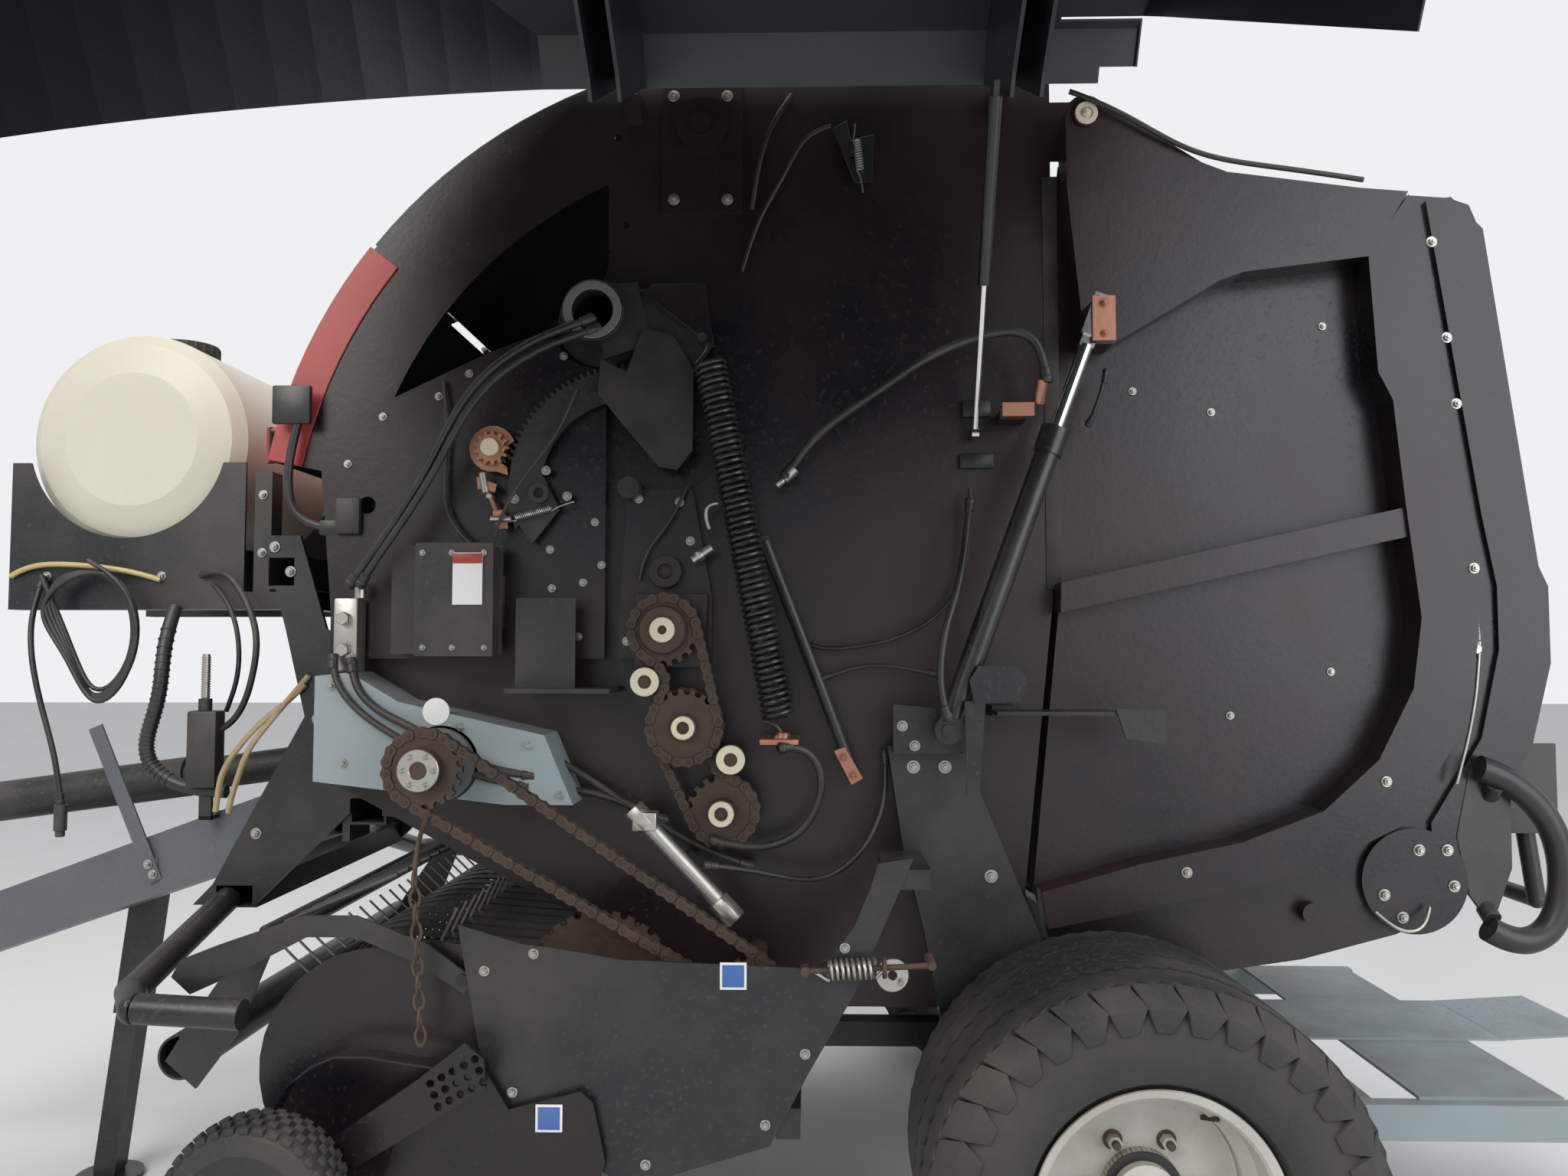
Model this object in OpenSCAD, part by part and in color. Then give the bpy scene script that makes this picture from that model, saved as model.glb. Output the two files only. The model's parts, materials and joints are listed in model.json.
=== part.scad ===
// Round baler, variable chamber, standing on two wheels and its tongue jack.
// +X runs to the rear, +Y to the machine's right side, +Z up.
// Everything is drawn from the ground under the axle, on the machine's
// centre line, and from_axle() moves it to the middle of the whole box.

/* [Chamber] */
// Clear width between the side walls
chamber_w = 1200; // [1170:5:1215]
// Thickness of the side walls
wall_t = 8; // [6:1:10]
// Height of the top edge of the side walls
wall_top = 2790; // [2770:5:2800]
// Radius of the curved front hood
hood_r = 1214; // [1200:1:1225]
// Thickness of the hood and front door sheets
hood_t = 5; // [3:1:8]
// Height of the tailgate's pivot
pivot_z = 2670; // [2665:1:2675]
// Radius of the tailgate's pivot pins
pivot_r = 30; // [20:1:34]

/* [Tailgate] */
// How far the stiffening channels stand out from the walls
channel_d = 82; // [60:1:90]
// Radius of the belt rolls in the tailgate
tail_roll_r = 55; // [45:1:65]

/* [Wheels] */
// Outer radius of the main tyres
tyre_r = 425; // [415:1:430]
// Width of the main tyres
tyre_w = 460; // [430:5:470]
// Radius of the rim flange
rim_r = 232.5; // [225:0.5:236]
// Distance from the centre line to the middle of a main tyre
wheel_y = 950; // [945:1:970]
// Radius of the wheel spindles
spindle_r = 35; // [28:1:40]
// Pitch circle of the wheel studs
stud_pcd = 205; // [195:1:215]

/* [Pickup] */
// Radius of the stripper bands
band_r = 245; // [225:1:255]
// Radius of the tine tips
tine_tip_r = 330; // [310:1:335]
// Distance between neighbouring bands
band_pitch = 70; // [66:1:74]
// Outer radius of the gauge wheels
gauge_r = 165; // [155:1:168]
// Width of the gauge wheels
gauge_w = 125; // [110:1:130]
// Radius of the windguard roller
guard_roll_r = 50; // [40:1:55]

/* [Shields] */
// Distance from the centre line to the outer face of the side shields
shield_y = 1000; // [985:1:1010]
// Thickness of the side shields
shield_t = 3; // [2:0.5:6]
// How far the left shield is raised
shield_lift = 60; // [50:1:62]

/* [Drives] */
// Pitch of the roller chains
chain_pitch = 25.4; // [22:0.1:28]
// Thickness of the chains
chain_t = 22; // [16:1:26]
// Thickness of the sprocket plates
sprocket_t = 14; // [8:1:18]

/* [Springs and cylinders] */
// Outer radius of the belt tension springs
spring_r = 36; // [30:1:38]
// Radius of the tailgate cylinder barrels
barrel_r = 27; // [22:1:29]
// Radius of the tailgate cylinder rods
rod_r = 15; // [12:1:18]
// Radius of the gas strut tubes
strut_r = 14; // [11:1:15]

/* [Tongue] */
// Depth of the tongue beams
tongue_h = 150; // [130:5:170]
// Width of the tongue beams
tongue_w = 80; // [60:5:90]
// Radius of the hole for the hitch pin
hitch_pin_r = 16; // [13:0.5:20]
// Radius of the tank
tank_r = 285; // [260:5:290]

/* [Hidden] */
// Middle of the whole box, seen from the axle
axle_x = 912.5;
mid_y = 590;
// Clearances: still faces, moving pieces, running fits
gap = 0.3;
fit = 0.08;
half_w = chamber_w / 2;
wall_y = half_w + wall_t;

$fn = 48;

// Placing helpers
module from_axle() translate([axle_x, mid_y, 0]) children();
module on_right() mirror([0, 1, 0]) children();
module both_sides() { children(); mirror([0, 1, 0]) children(); }
// A plate drawn in X and Z, from y outwards to y - t on the left side
module plate(y, t) translate([0, y, 0]) rotate([90, 0, 0]) linear_extrude(t) children();
// A round bar along Y between y0 and y1
module bar(x, z, y0, y1, r) translate([x, y0, z]) rotate([-90, 0, 0]) cylinder(r = r, h = y1 - y0);
module ring(x, z, y0, y1, r, r_in) difference() {
    bar(x, z, y0, y1, r);
    bar(x, z, y0 - 1, y1 + 1, r_in);
}
// A straight strip in 2D between two points, lying to the left of the way
module strip(p, q, t) translate(p) rotate(atan2(q[1] - p[1], q[0] - p[0]))
    translate([0, min(t, 0)]) square([norm(q - p), abs(t)]);
module rim_strip(points, t) difference() {
    polygon(points);
    polygon(inset(points, t));
}
// A box beam between two points in space
module beam(p, q, w, h) {
    d = q - p;
    translate(p) rotate([0, -atan2(d[2], norm([d[0], d[1]])), atan2(d[1], d[0])])
        translate([0, -w / 2, -h / 2]) cube([norm(d), w, h]);
}
// A box tube along Y, centred on Y 0, with its ends open
module cross_tube(x, z, w, h, length, t) difference() {
    translate([x, -length / 2, z]) cube([w, length, h]);
    translate([x + t, -length, z + t]) cube([w - 2 * t, 2 * length, h - 2 * t]);
}
// A round tube or rod between two points in space
module rod(p, q, r) {
    d = q - p;
    translate(p) rotate([0, acos(d[2] / norm(d)), atan2(d[1], d[0])]) cylinder(r = r, h = norm(d));
}
function arc(c, r, a0, a1, n) = [for (i = [0:n]) let (a = a0 + (a1 - a0) * i / n)
    [c[0] + r * cos(a), c[1] + r * sin(a)]];
// A path in X and Z given a thickness to its left
function side_of(p, q) = let (d = q - p) [-d[1], d[0]] / norm(d);
function normal_at(path, i) = let (n = len(path),
    a = side_of(path[max(i - 1, 0)], path[max(i, 1)]), b = side_of(path[min(i, n - 2)], path[min(i + 1, n - 1)]))
    (a + b) / (1 + a * b);
function inset(points, t) = let (n = len(points)) [for (i = [0:n - 1])
    let (a = side_of(points[(i + n - 1) % n], points[i]), b = side_of(points[i], points[(i + 1) % n]))
    points[i] + t * (a + b) / (1 + a * b)];
function thick(path, t) = concat(path, [for (i = [len(path) - 1:-1:0]) path[i] + t * normal_at(path, i)]);

// Centre and angles of the hood's curve
hood_c = [-707, 1653];
hood_top_a = 109;
door_top_a = 141.5;
door_low_a = 168.5;
hood_band = 230;
// Tailgate pivot and the split between front body and tailgate
pivot = [0, pivot_z];
ear_r = 70;
split = [[-64, pivot_z - 60], [-70, 1560], [-140, 905], [-110, 700]];

// Front walls of the chamber
wall_outline = concat([[-1105, wall_top], [-64, wall_top]], split,
    [[-300, 640], [-620, 640], [-1000, 760], [-1400, 960], [-1733, 1140], [-1733, 1536],
     [-1766, 1918], [-1746, 1963], [-1372, 2141], [-1159, 2220], [-1105, 2350]]);
front_plate = [[-1733, 1430], [-1733, 1536], [-1766, 1918], [-1746, 1963], [-1372, 2141],
               [-1159, 2220], [-1100, 2190], [-1100, 1430]];
front_plate_y = 642;
take_up_at = [-1117, 2212];
bearing_at = [-883, 2680];
gearbox_at = [-1443, 1199];
// Rolls driven by the upper chains, with their teeth: x, z, teeth
drives = [[-956, 1494, 18], [-910, 1278, 19], [-825, 1090, 18]];
function pitch_r(teeth) = chain_pitch / 2 / sin(180 / teeth);
shield_hinge = [690, 2770];
hinge_x = [-1046, -190];

module wall_sheet() difference() {
    union() {
        polygon(wall_outline);
        translate(pivot) circle(ear_r);
        translate([-65, pivot_z - ear_r]) square([65, 2 * ear_r]);
        polygon(concat(arc(hood_c, hood_r, hood_top_a, door_low_a, 18),
                       arc(hood_c, hood_r - hood_band, door_low_a, hood_top_a, 14)));
    }
    translate(take_up_at) circle(75);
    translate(gearbox_at) circle(56);
    translate(big_at) circle(70);
    for (p = [[-1084, 2665], [-1064, 2454], [-1110, 2390]]) translate(p) circle(9);
}

module hinge_block(x) {
    translate([x - 20, 0, shield_hinge[1]]) rotate([90, 0, 90]) linear_extrude(40)
        polygon([[-wall_y + 1, -75], [-wall_y + 1, -8], [-645, -22], [-668, -18], [-shield_hinge[0], 0],
            [-697, -16], [-680, -35]]);
    translate([x - 34, -shield_hinge[0], shield_hinge[1]]) rotate([0, 90, 0]) cylinder(r = 10, h = 68);
    translate([x - 20, -shield_hinge[0], shield_hinge[1]]) rotate([0, 90, 0]) cylinder(r = 18, h = 40);
}

module side_wall() {
    plate(-half_w, wall_t) wall_sheet();
    bar(pivot[0], pivot[1], -700, -half_w, pivot_r);
    plate(-front_plate_y, 8) difference() {
        polygon(front_plate);
        translate([-1653, 1784]) circle(20);
        translate(take_up_at) circle(112);
    }
    plate(-wall_y, front_plate_y - wall_y) difference() {
        rim_strip(front_plate, -8);
        translate(take_up_at) circle(112);
    }
    plate(-wall_y, 14) polygon([[-977, 2785], [-787, 2785], [-787, 2482], [-977, 2482]]);
    ring(bearing_at[0], bearing_at[1], -650, -wall_y, 62, 26);
    bar(bearing_at[0], bearing_at[1], -660, -wall_y, 25);
    for (x = hinge_x) hinge_block(x);
    plate(-wall_y, 32) polygon([[-1050, 1819], [-900, 1819], [-855, 1571], [-855, 1430], [-1072, 1430]]);
}
module side_wall_left() color("#2b2628") from_axle() side_wall();
module side_wall_right() color("#2b2628") from_axle() on_right() side_wall();

// Front frame: upright side plates with cross tubes
upright = [[-1963, 1728], [-1869, 1728], [-1800, 1500], [-1515, 1300], [-1515, 1040],
           [-1733, 1060], [-1960, 840], [-2110, 840], [-2063, 889], [-1849, 1290], [-1900, 1500]];
module front_frame() color("#26282b") from_axle() {
    both_sides() {
        plate(-499, 12) difference() {
            polygon(upright);
            for (h = [[-1950, 1606, 68, 68], [-2054, 838, 88, 48], [-1734, 1036, 78, 58]])
                translate([h[0], h[1]]) square([h[2], h[3]]);
        }
        // Links from the uprights out to the side walls
        translate([-1740, -half_w + gap, 1150]) cube([90, half_w - 500, 90]);
        // End plate for the tongue beam
        translate([-1756, -500, 990]) cube([18, 130, 150]);
        // Bent guard tube ahead of the pickup
        rod([-2030, -500, 853], [-2030, -900, 745], 30);
        translate([-2030, -900, 745]) sphere(r = 31);
        rod([-2030, -900, 745], [-1980, -975, 735], 30);
        translate([-1980, -975, 735]) sphere(r = 31);
        rod([-1980, -975, 735], [-1755, -985, 727], 30);
    }
    cross_tube(-1956, 1600, 80, 80, 999, 6);
    cross_tube(-2060, 832, 100, 60, 999, 6);
    cross_tube(-1740, 1030, 90, 70, 999, 6);
    // Seat of the gearbox
    translate([-1660, -100, 1044]) cube([330, 200, 16 - gap]);
}

function on_hood(out, a) = hood_c + (hood_r + out) * [cos(a), sin(a)];
door_hinge = on_hood(18, door_top_a + 0.4);
module wide_strip(p, q, t) {
    strip(p, q, t / 2);
    strip(p, q, -t / 2);
}
module hood() color("#1d1f21") from_axle() {
    translate([0, wall_y, 0]) plate(0, 2 * wall_y)
        polygon(concat(arc(hood_c, hood_r + gap, hood_top_a, door_top_a, 12),
                       arc(hood_c, hood_r + gap + hood_t, door_top_a, hood_top_a, 12)));
    // Lugs and pins that carry the front door
    for (y = [-420, 0, 420]) {
        bar(door_hinge[0], door_hinge[1], y - 52, y + 52, 5);
        for (s = [-1, 1]) plate(y + s * 46 + 4, 8) {
            translate(door_hinge) circle(7);
            wide_strip(door_hinge, on_hood(3, door_top_a - 0.6), 10);
        }
    }
}

module front_door() color("#a3211c") from_axle() {
    translate([0, wall_y, 0]) plate(0, 2 * wall_y)
        polygon(concat(arc(hood_c, hood_r + 6, door_top_a + 1, door_low_a, 12),
                       arc(hood_c, hood_r + 6 + hood_t, door_low_a, door_top_a + 1, 12)));
    // Hinge knuckles and the grab handle
    for (y = [-420, 0, 420]) difference() {
        union() {
            bar(door_hinge[0], door_hinge[1], y - 40, y + 40, 9);
            plate(y + 40, 80) wide_strip(door_hinge, on_hood(9, door_top_a + 1.6), 5);
        }
        bar(door_hinge[0], door_hinge[1], y - 50, y + 50, 5 + fit);
    }
    for (z = [1975, 1905]) rod([-1884, -560, z], [-1925, -560, z], 8);
    rod([-1925, -560, 1983], [-1925, -560, 1897], 9);
}

// Tongue: two beams that draw together to the hitch
tongue_rear = [-1792, -445, 1075];
tongue_front = [-2960, -95, 668];
module tongue() color("#5b6166") from_axle() {
    difference() {
        both_sides() beam(tongue_front, tongue_rear, tongue_w, tongue_h);
        both_sides() beam(tongue_front, 1.01 * tongue_rear - 0.01 * tongue_front, tongue_w - 16, tongue_h - 16);
    }
    translate([-2990, -135, 600]) cube([60, 270, 140]);
    // Hose strap on the left beam, and the cross tubes between the beams
    plate(-337, 6) wide_strip([-2464, 1253], [-2297, 863], 36);
    translate([-2330, -340, 880]) cube([36, 30, 40]);
    translate([-2120, -350, 950]) cube([60, 700, 50]);
    translate([-2412, -235, 800]) cube([72, 470, 60]);
}

// Hitch: a drop plate with a clevis for the drawbar pin
hitch_x = -3200;
hitch_z = 470;
module hitch() color("#33363a") from_axle() difference() {
    union() {
        translate([-3010, -60, 430]) cube([20 - gap, 120, 310]);
        for (s = [-1, 1]) translate([0, 0, hitch_z + s * 40 - 10]) {
            translate([hitch_x, 0, 0]) cylinder(r = 45, h = 20);
            translate([hitch_x, -45, 0]) cube([-3005 - hitch_x, 90, 20]);
        }
    }
    translate([hitch_x, 0, hitch_z - 60]) cylinder(r = hitch_pin_r, h = 120);
}

// Tongue jack: a leaning sleeve between the beams, with a square leg and foot
jack_top = [-2454, -60, 870];
jack_lean = 7;
module jack_frame() translate(jack_top) rotate([0, jack_lean, 0]) children();
module jack_sleeve() color("#2b2d30") from_axle() {
    jack_frame() {
        difference() {
            translate([-36, -36, -420]) cube([72, 72, 450]);
            translate([-30.5, -30.5, -421]) cube([61, 61, 440]);
        }
        translate([0, 0, 30]) cylinder(r = 20, h = 30);
    }
    // Seat against the cross tube of the tongue
    translate([-2424, jack_top[1] - 30, 805]) cube([12 - gap, 60, 50]);
}
jack_drop = jack_top[2] / cos(jack_lean);
jack_leg_len = 600;
module jack_leg() color("#2b2d30") from_axle() {
    jack_frame() difference() {
        translate([-30, -30, -jack_drop + 30]) cube([60, 60, jack_leg_len]);
        translate([-24, -24, -jack_drop + 50]) cube([48, 48, jack_leg_len]);
    }
    translate([jack_top[0] - jack_top[2] * tan(jack_lean) + 2, jack_top[1], 0]) {
        cylinder(r = 85, h = 14);
        translate([-28, -28, 13]) cube([56, 56, 30]);
    }
}

// Drive line: shielded shaft from the tractor into the gearbox
shaft_slope = atan(0.134);
module pto_shaft() color("#1b1b1c") from_axle() translate([-1699, 0, 1185]) rotate([0, -90 - shaft_slope, 0])
    difference() {
        union() {
            cylinder(r = 62, h = 110);
            translate([0, 0, 110]) cylinder(r1 = 62, r2 = 45, h = 50);
            cylinder(r = 45, h = 900);
            translate([0, 0, 700]) cylinder(r = 56, h = 590);
            translate([0, 0, 1290]) cylinder(r1 = 56, r2 = 78, h = 70);
            translate([0, 0, 1360]) cylinder(r = 78, h = 60);
            translate([0, 0, 1400]) cylinder(r = 32, h = 120);
        }
        translate([0, 0, 1440]) cylinder(r = 17.5, h = 100);
    }
module gearbox() color("#77797a") from_axle() {
    translate([-1620, -120, 1060]) cube([310, 240, 270]);
    translate([-1600, -100, 1330]) cube([270, 200, 20]);
    translate([-1690, 0, gearbox_at[1]]) rotate([0, 90, 0]) cylinder(r = 58, h = 90);
    bar(gearbox_at[0], gearbox_at[1], -760, -110, 55);
    bar(gearbox_at[0], gearbox_at[1], -770, -755, 80);
    bar(gearbox_at[0], gearbox_at[1], 110, half_w - gap, 45);
}
cover_outline = [[-1727, 1160], [-1727, 1392], [-1650, 1400], [-1540, 1335], [-1215, 1262], [-1150, 1110],
                 [-1300, 1110]];
module gearbox_cover() color("#8fa0a6") from_axle() difference() {
    union() {
        plate(-740, 4) polygon(cover_outline);
        plate(-wall_y - gap, 740 - wall_y) rim_strip(cover_outline, -4);
    }
    bar(gearbox_at[0], gearbox_at[1], -800, -600, 84);
}

// Axle: cross beam, leg plates and spindles
leg_outline = [[-457, 1236], [-287, 1219], [-170, 934], [-100, 766], [60, 500], [60, 350], [-70, 350],
               [-335, 600], [-379, 834], [-424, 1014]];
leg_y = 690;
module axle() color("#232527") from_axle() {
    both_sides() {
        plate(-leg_y + 10, 10) polygon(leg_outline);
        plate(-wall_y - gap, 10) difference() {
            polygon(leg_outline);
            translate([-205, 445]) square([110, 110]);
        }
        plate(-wall_y - 5, leg_y - wall_y - 10) rim_strip(leg_outline, -8);
        plate(-wall_y - 6, 8) polygon([[-115, 800], [-6, 790], [-80, 690]]);
        // Foot bracket and pin of the tailgate cylinder
        translate([-447, -722, 1222]) cube([147, 722 - wall_y - gap, 16]);
        plate(-722, 8) polygon([[-447, 1222], [-300, 1222], [-300, 1318], [-447, 1330]]);
        bar(-332, 1277, -797, -724, 14);
        // Lugs and pin of the ramp's hinge
        for (y = [-370, -286]) translate([-90, y, 484]) cube([66, 16, 32]);
        bar(-40, 500, -368, -272, 16);
        bar(0, tyre_r, -wheel_y - 60, -wall_y - 5, spindle_r);
        bar(0, tyre_r, -715, -wall_y - 5, 60);
    }
    difference() {
        translate([-215, -wall_y - 5, 435]) cube([130, 2 * wall_y + 10, 130]);
        translate([-205, -700, 445]) cube([110, 1400, 110]);
    }
}

// Main wheels, one set of parts for both sides, drawn on the left
tyre_section = [[0.80, 216], [0.825, 236], [0.93, 247], [0.985, 272], [1, 305], [0.985, 350], [0.92, 392],
                [0.86, 408], [0.5, 420], [0.25, 424], [0, 425]];
tyre_inside = [[200, 150], [236, 164], [262, 196], [305, 210], [350, 205], [385, 182], [397, 100], [400, 0]];
function tyre_points(w, r) = concat(
    [for (p = tyre_section) [r * p[1] / 425, w / 2 * p[0]]],
    [for (i = [len(tyre_section) - 2:-1:0]) let (p = tyre_section[i]) [r * p[1] / 425, -w / 2 * p[0]]]);
module on_wheel() translate([0, -wheel_y, tyre_r]) rotate([90, 0, 0]) children();
module tyre() on_wheel() rotate_extrude($fn = 96) difference() {
    polygon(tyre_points(tyre_w, tyre_r));
    polygon(concat(tyre_inside, [for (i = [6:-1:0]) [tyre_inside[i][0], -tyre_inside[i][1]]]));
    for (s = [-0.42, 0, 0.42]) translate([tyre_r - 12, s * tyre_w - 6]) square([20, 12]);
}
// Rim sheet from the outer flange through the drop centre to the inner one: radius, place along the axle
rim_path = [[rim_r, 208], [217, 200], [212, 192], [209, 120], [188, 90], [188, -60], [209, -100], [212, -192],
            [217, -200], [rim_r, -208]];
module rim() on_wheel() difference() {
    union() {
        rotate_extrude($fn = 96) polygon(thick(rim_path, 3.7));
        translate([0, 0, 52]) cylinder(r = 190, h = 10);
        cylinder(r = 76, h = 84);
        translate([0, 0, 84]) cylinder(r = 60, h = 26);
        for (a = [0:60:300]) rotate(a) translate([stud_pcd / 2, 0, 60]) cylinder(r = 14, h = 26, $fn = 6);
    }
    translate([0, 0, -1]) cylinder(r = spindle_r + fit, h = 62);
    translate([0, 0, 100]) cylinder(r = 40, h = 12);
}
module tyre_left() color("#1c1c1c") from_axle() tyre();
module rim_left() color("#d8d6cf") from_axle() rim();
module tyre_right() color("#1c1c1c") from_axle() on_right() tyre();
module rim_right() color("#d8d6cf") from_axle() on_right() rim();

// Rolls and belts of the front body
front_rolls = [[bearing_at[0], bearing_at[1], 70], [-130, 2640, 70], [drives[0][0], drives[0][1], 92],
               [drives[1][0], drives[1][1], 92], [drives[2][0], drives[2][1], 92], [-749, 769, 120], [-430, 760, 90]];
// A drum: a tube on a through shaft with one disc in the middle
module drum(x, z, half, r, shaft, shaft_half) {
    ring(x, z, -half, half, r, r - 8);
    bar(x, z, -6, 6, r - 4);
    bar(x, z, -shaft_half, shaft_half, shaft);
}
module belt_roll(x, z, r, shaft) drum(x, z, half_w - 6, r, shaft, half_w - gap);
module chamber_rolls() color("#4b4441") from_axle() for (r = front_rolls) belt_roll(r[0], r[1], r[2], 25);

belt_count = 5;
belt_w = 200;
belt_t = 6;
module belts(path, t) for (i = [0:belt_count - 1])
    translate([0, (i - (belt_count - 1) / 2) * (belt_w + 22) + belt_w / 2, 0]) plate(0, belt_w)
        polygon(thick(path, t));
// A path round the outside of the rolls
front_belt = concat([[-60, 2711]], arc([bearing_at[0], bearing_at[1]], 71, 90, 215, 8),
    [[-1037, 2300], [-1037, 2100], [-1052, 1560]]);
module belts_front() color("#2a2b2a") from_axle() belts(front_belt, -belt_t);

// Belt take-up: a cross tube with an arm blade on each side
arm_plate = [[-1023, 2250], [-991, 2290], [-871, 2290], [-850, 2148], [-905, 2070], [-1010, 2120]];
blade_outline = [[-1010, 2180], [-940, 2165], [-893, 2085], [-895, 1900], [-930, 1856], [-972, 1864],
                 [-1045, 1950], [-1110, 2030], [-1105, 2110], [-1045, 2080]];
module take_up() color("#232426") from_axle() {
    difference() {
        bar(take_up_at[0], take_up_at[1], -735, 735, 68);
        bar(take_up_at[0], take_up_at[1], -740, 740, 46);
        bar(take_up_at[0], take_up_at[1], -700, 700, 60);
    }
    both_sides() {
        ring(take_up_at[0], take_up_at[1], -wall_y - 20, -wall_y - gap, 102, 66);
        plate(-670, 12) polygon(arm_plate);
        plate(-690, 12) difference() {
            polygon(blade_outline);
            translate(take_up_at) circle(60);
        }
        plate(-680, 12) difference() {
            polygon([[-1117, 2285], [-1023, 2290], [-990, 2150], [-1100, 2112]]);
            translate(take_up_at) circle(60);
        }
        bar(-870, 2150, -740, -670, 10);
    }
}

// Belt tension springs: close-wound coils between the arm and the lower anchor
spring_top = [-855, 2100];
spring_foot = [-698, 1300];
spring_y = 722;
coil_pitch = 19;
module spring() {
    d = spring_foot - spring_top;
    n = floor(norm(d) / coil_pitch);
    translate([spring_top[0], -spring_y, spring_top[1]]) rotate([0, 180 - atan2(d[0], -d[1]), 0]) {
        rotate_extrude($fn = 32) difference() {
            polygon(concat([for (i = [0:n - 1], e = [[0, -3], [5.5, 0], [5.5, 10], [0, 13]])
                                [spring_r - 6 + e[0], i * coil_pitch + e[1] + 3]],
                           [[spring_r - 12, n * coil_pitch], [spring_r - 12, 0]]));
        }
        for (z = [-6, n * coil_pitch - 1]) translate([0, 0, z]) cylinder(r = spring_r - 8, h = 7);
        translate([0, 0, -41]) cylinder(r = 7, h = 37);
        translate([0, 0, n * coil_pitch + 5]) cylinder(r = 9, h = 80);
    }
}
module tension_springs() color("#17181a") from_axle() both_sides() {
    spring();
    // Anchor bracket on the wall, and the tie rod that runs behind the coil
    translate([-740, -760, 1243]) cube([85, 760 - wall_y - gap, 12]);
    rod([-835, -640, 1590], [-617, -640, 1250], 10);
    plate(-wall_y - gap, 30) polygon([[-660, 1290], [-600, 1290], [-560, 1180], [-620, 1180]]);
}

// Toothed sector and pinion that swing the net duckbill
sector_c = [-1042, 1818];
sector_r = 281;
tooth_module = 5.14;
pinion_teeth = 14;
pinion_at = [-1352, 1907];
module teeth_band(c, r, m, a0, a1) {
    step = 360 * m / (2 * r);
    for (a = [a0:step:a1]) translate(c) rotate(a) polygon([[r - 8, -m * 0.95], [r + m, -m * 0.4],
                                                           [r + m, m * 0.4], [r - 8, m * 0.95]]);
}
module knife_gear() color("#3a3335") from_axle() {
    plate(-672, 10) {
        polygon(concat(arc(sector_c, sector_r - 6, 88, 200, 24), [[-1262, 1770]], arc(sector_c, 202, 205, 88, 20)));
        polygon([[-1330, 1790], [-1262, 1690], [-1200, 1770], [-1240, 1850]]);
        teeth_band(sector_c, sector_r, tooth_module, 90, 168);
    }
    ring(-1244, 1805, -700, -671, 23, 12);
    // Pinion with its hub and cam plate
    plate(-672, 14) {
        translate(pinion_at) circle(pinion_teeth * tooth_module / 2 - 5);
        teeth_band(pinion_at, pinion_teeth * tooth_module / 2, tooth_module, 4, 360);
    }
    bar(pinion_at[0], pinion_at[1], -700, -front_plate_y - 8, 22);
    bar(sector_c[0], sector_c[1], -690, -wall_y - 32, 25);
    bar(-1244, 1805, -673, -front_plate_y - 8, 12);
}

module control_box() color("#121314") from_axle() {
    translate([-1575, -700, 1441]) cube([252, 6, 245]);
    translate([-1496, -760, 1441]) cube([165, 60, 240]);
    translate([-1500, -764, 1436]) cube([173, 4, 250]);
    for (x = [-1540, -1360]) translate([x, -694, 1500]) cube([30, 694 - front_plate_y - 8, 120]);
}

module side_brackets() color("#1b1d1f") from_axle() {
    // Tall plate and shelf below the control box
    translate([-1287, -720, 1366]) cube([134, 6, 200]);
    translate([-1290, -800, 1356]) cube([228, 192 - gap, 10]);
    // Shelf with its catch plates behind the cylinder's foot
    plate(-802, 8) polygon([[-290, 1385], [-270, 1415], [-190, 1415], [-165, 1385], [-180, 1340], [-280, 1335]]);
    translate([-230, -804, 1310]) cube([260, 114, 8]);
    translate([-225, -wall_y - 85, 1302]) cube([60, 85 - gap, 24]);
    plate(-802, 6) polygon([[-300, 1340], [-255, 1340], [-270, 1150], [-297, 1139]]);
    plate(-802, 8) polygon([[20, 1325], [125, 1325], [125, 1250], [40, 1262]]);
}

// Chain drives
// Wheels of a chain: x, z, radius, way round (1 anticlockwise, -1 clockwise)
function way(a, b) = let (d = [b[0] - a[0], b[1] - a[1]])
    atan2(d[1], d[0]) - asin((b[3] * b[2] - a[3] * a[2]) / norm(d));
function touch(w, th) = [w[0] + w[3] * w[2] * sin(th), w[1] - w[3] * w[2] * cos(th)];
function pieces(ws) = let (n = len(ws)) [for (i = [0:n - 1])
    let (w = ws[i], th0 = way(ws[(i + n - 1) % n], w), th1 = way(w, ws[(i + 1) % n]),
         turn = w[3] * (((w[3] * (th1 - th0)) % 360 + 360) % 360),
         run = norm(touch(ws[(i + 1) % n], th1) - touch(w, th1)))
    [w, th0, turn, abs(turn) * PI / 180 * w[2], th1, run]];
function on_piece(p, s) = s < p[3]
    ? let (th = p[1] + p[0][3] * s / p[0][2] * 180 / PI) [touch(p[0], th), th]
    : [touch(p[0], p[4]) + (s - p[3]) * [cos(p[4]), sin(p[4])], p[4]];
function total(ps, i = 0) = i >= len(ps) ? 0 : ps[i][3] + ps[i][5] + total(ps, i + 1);
function along(ps, s, i = 0) = s < ps[i][3] + ps[i][5] || i == len(ps) - 1
    ? on_piece(ps[i], s) : along(ps, s - ps[i][3] - ps[i][5], i + 1);
function chain_points(ps, side) = let (length = total(ps), n = round(length / chain_pitch))
    [for (k = [0:n - 1], half = [0, 1])
        let (at = along(ps, (k + half / 2) * length / n), h = side * (half == 0 ? 10 : 7))
        at[0] + h * [-sin(at[1]), cos(at[1])]];
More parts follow.
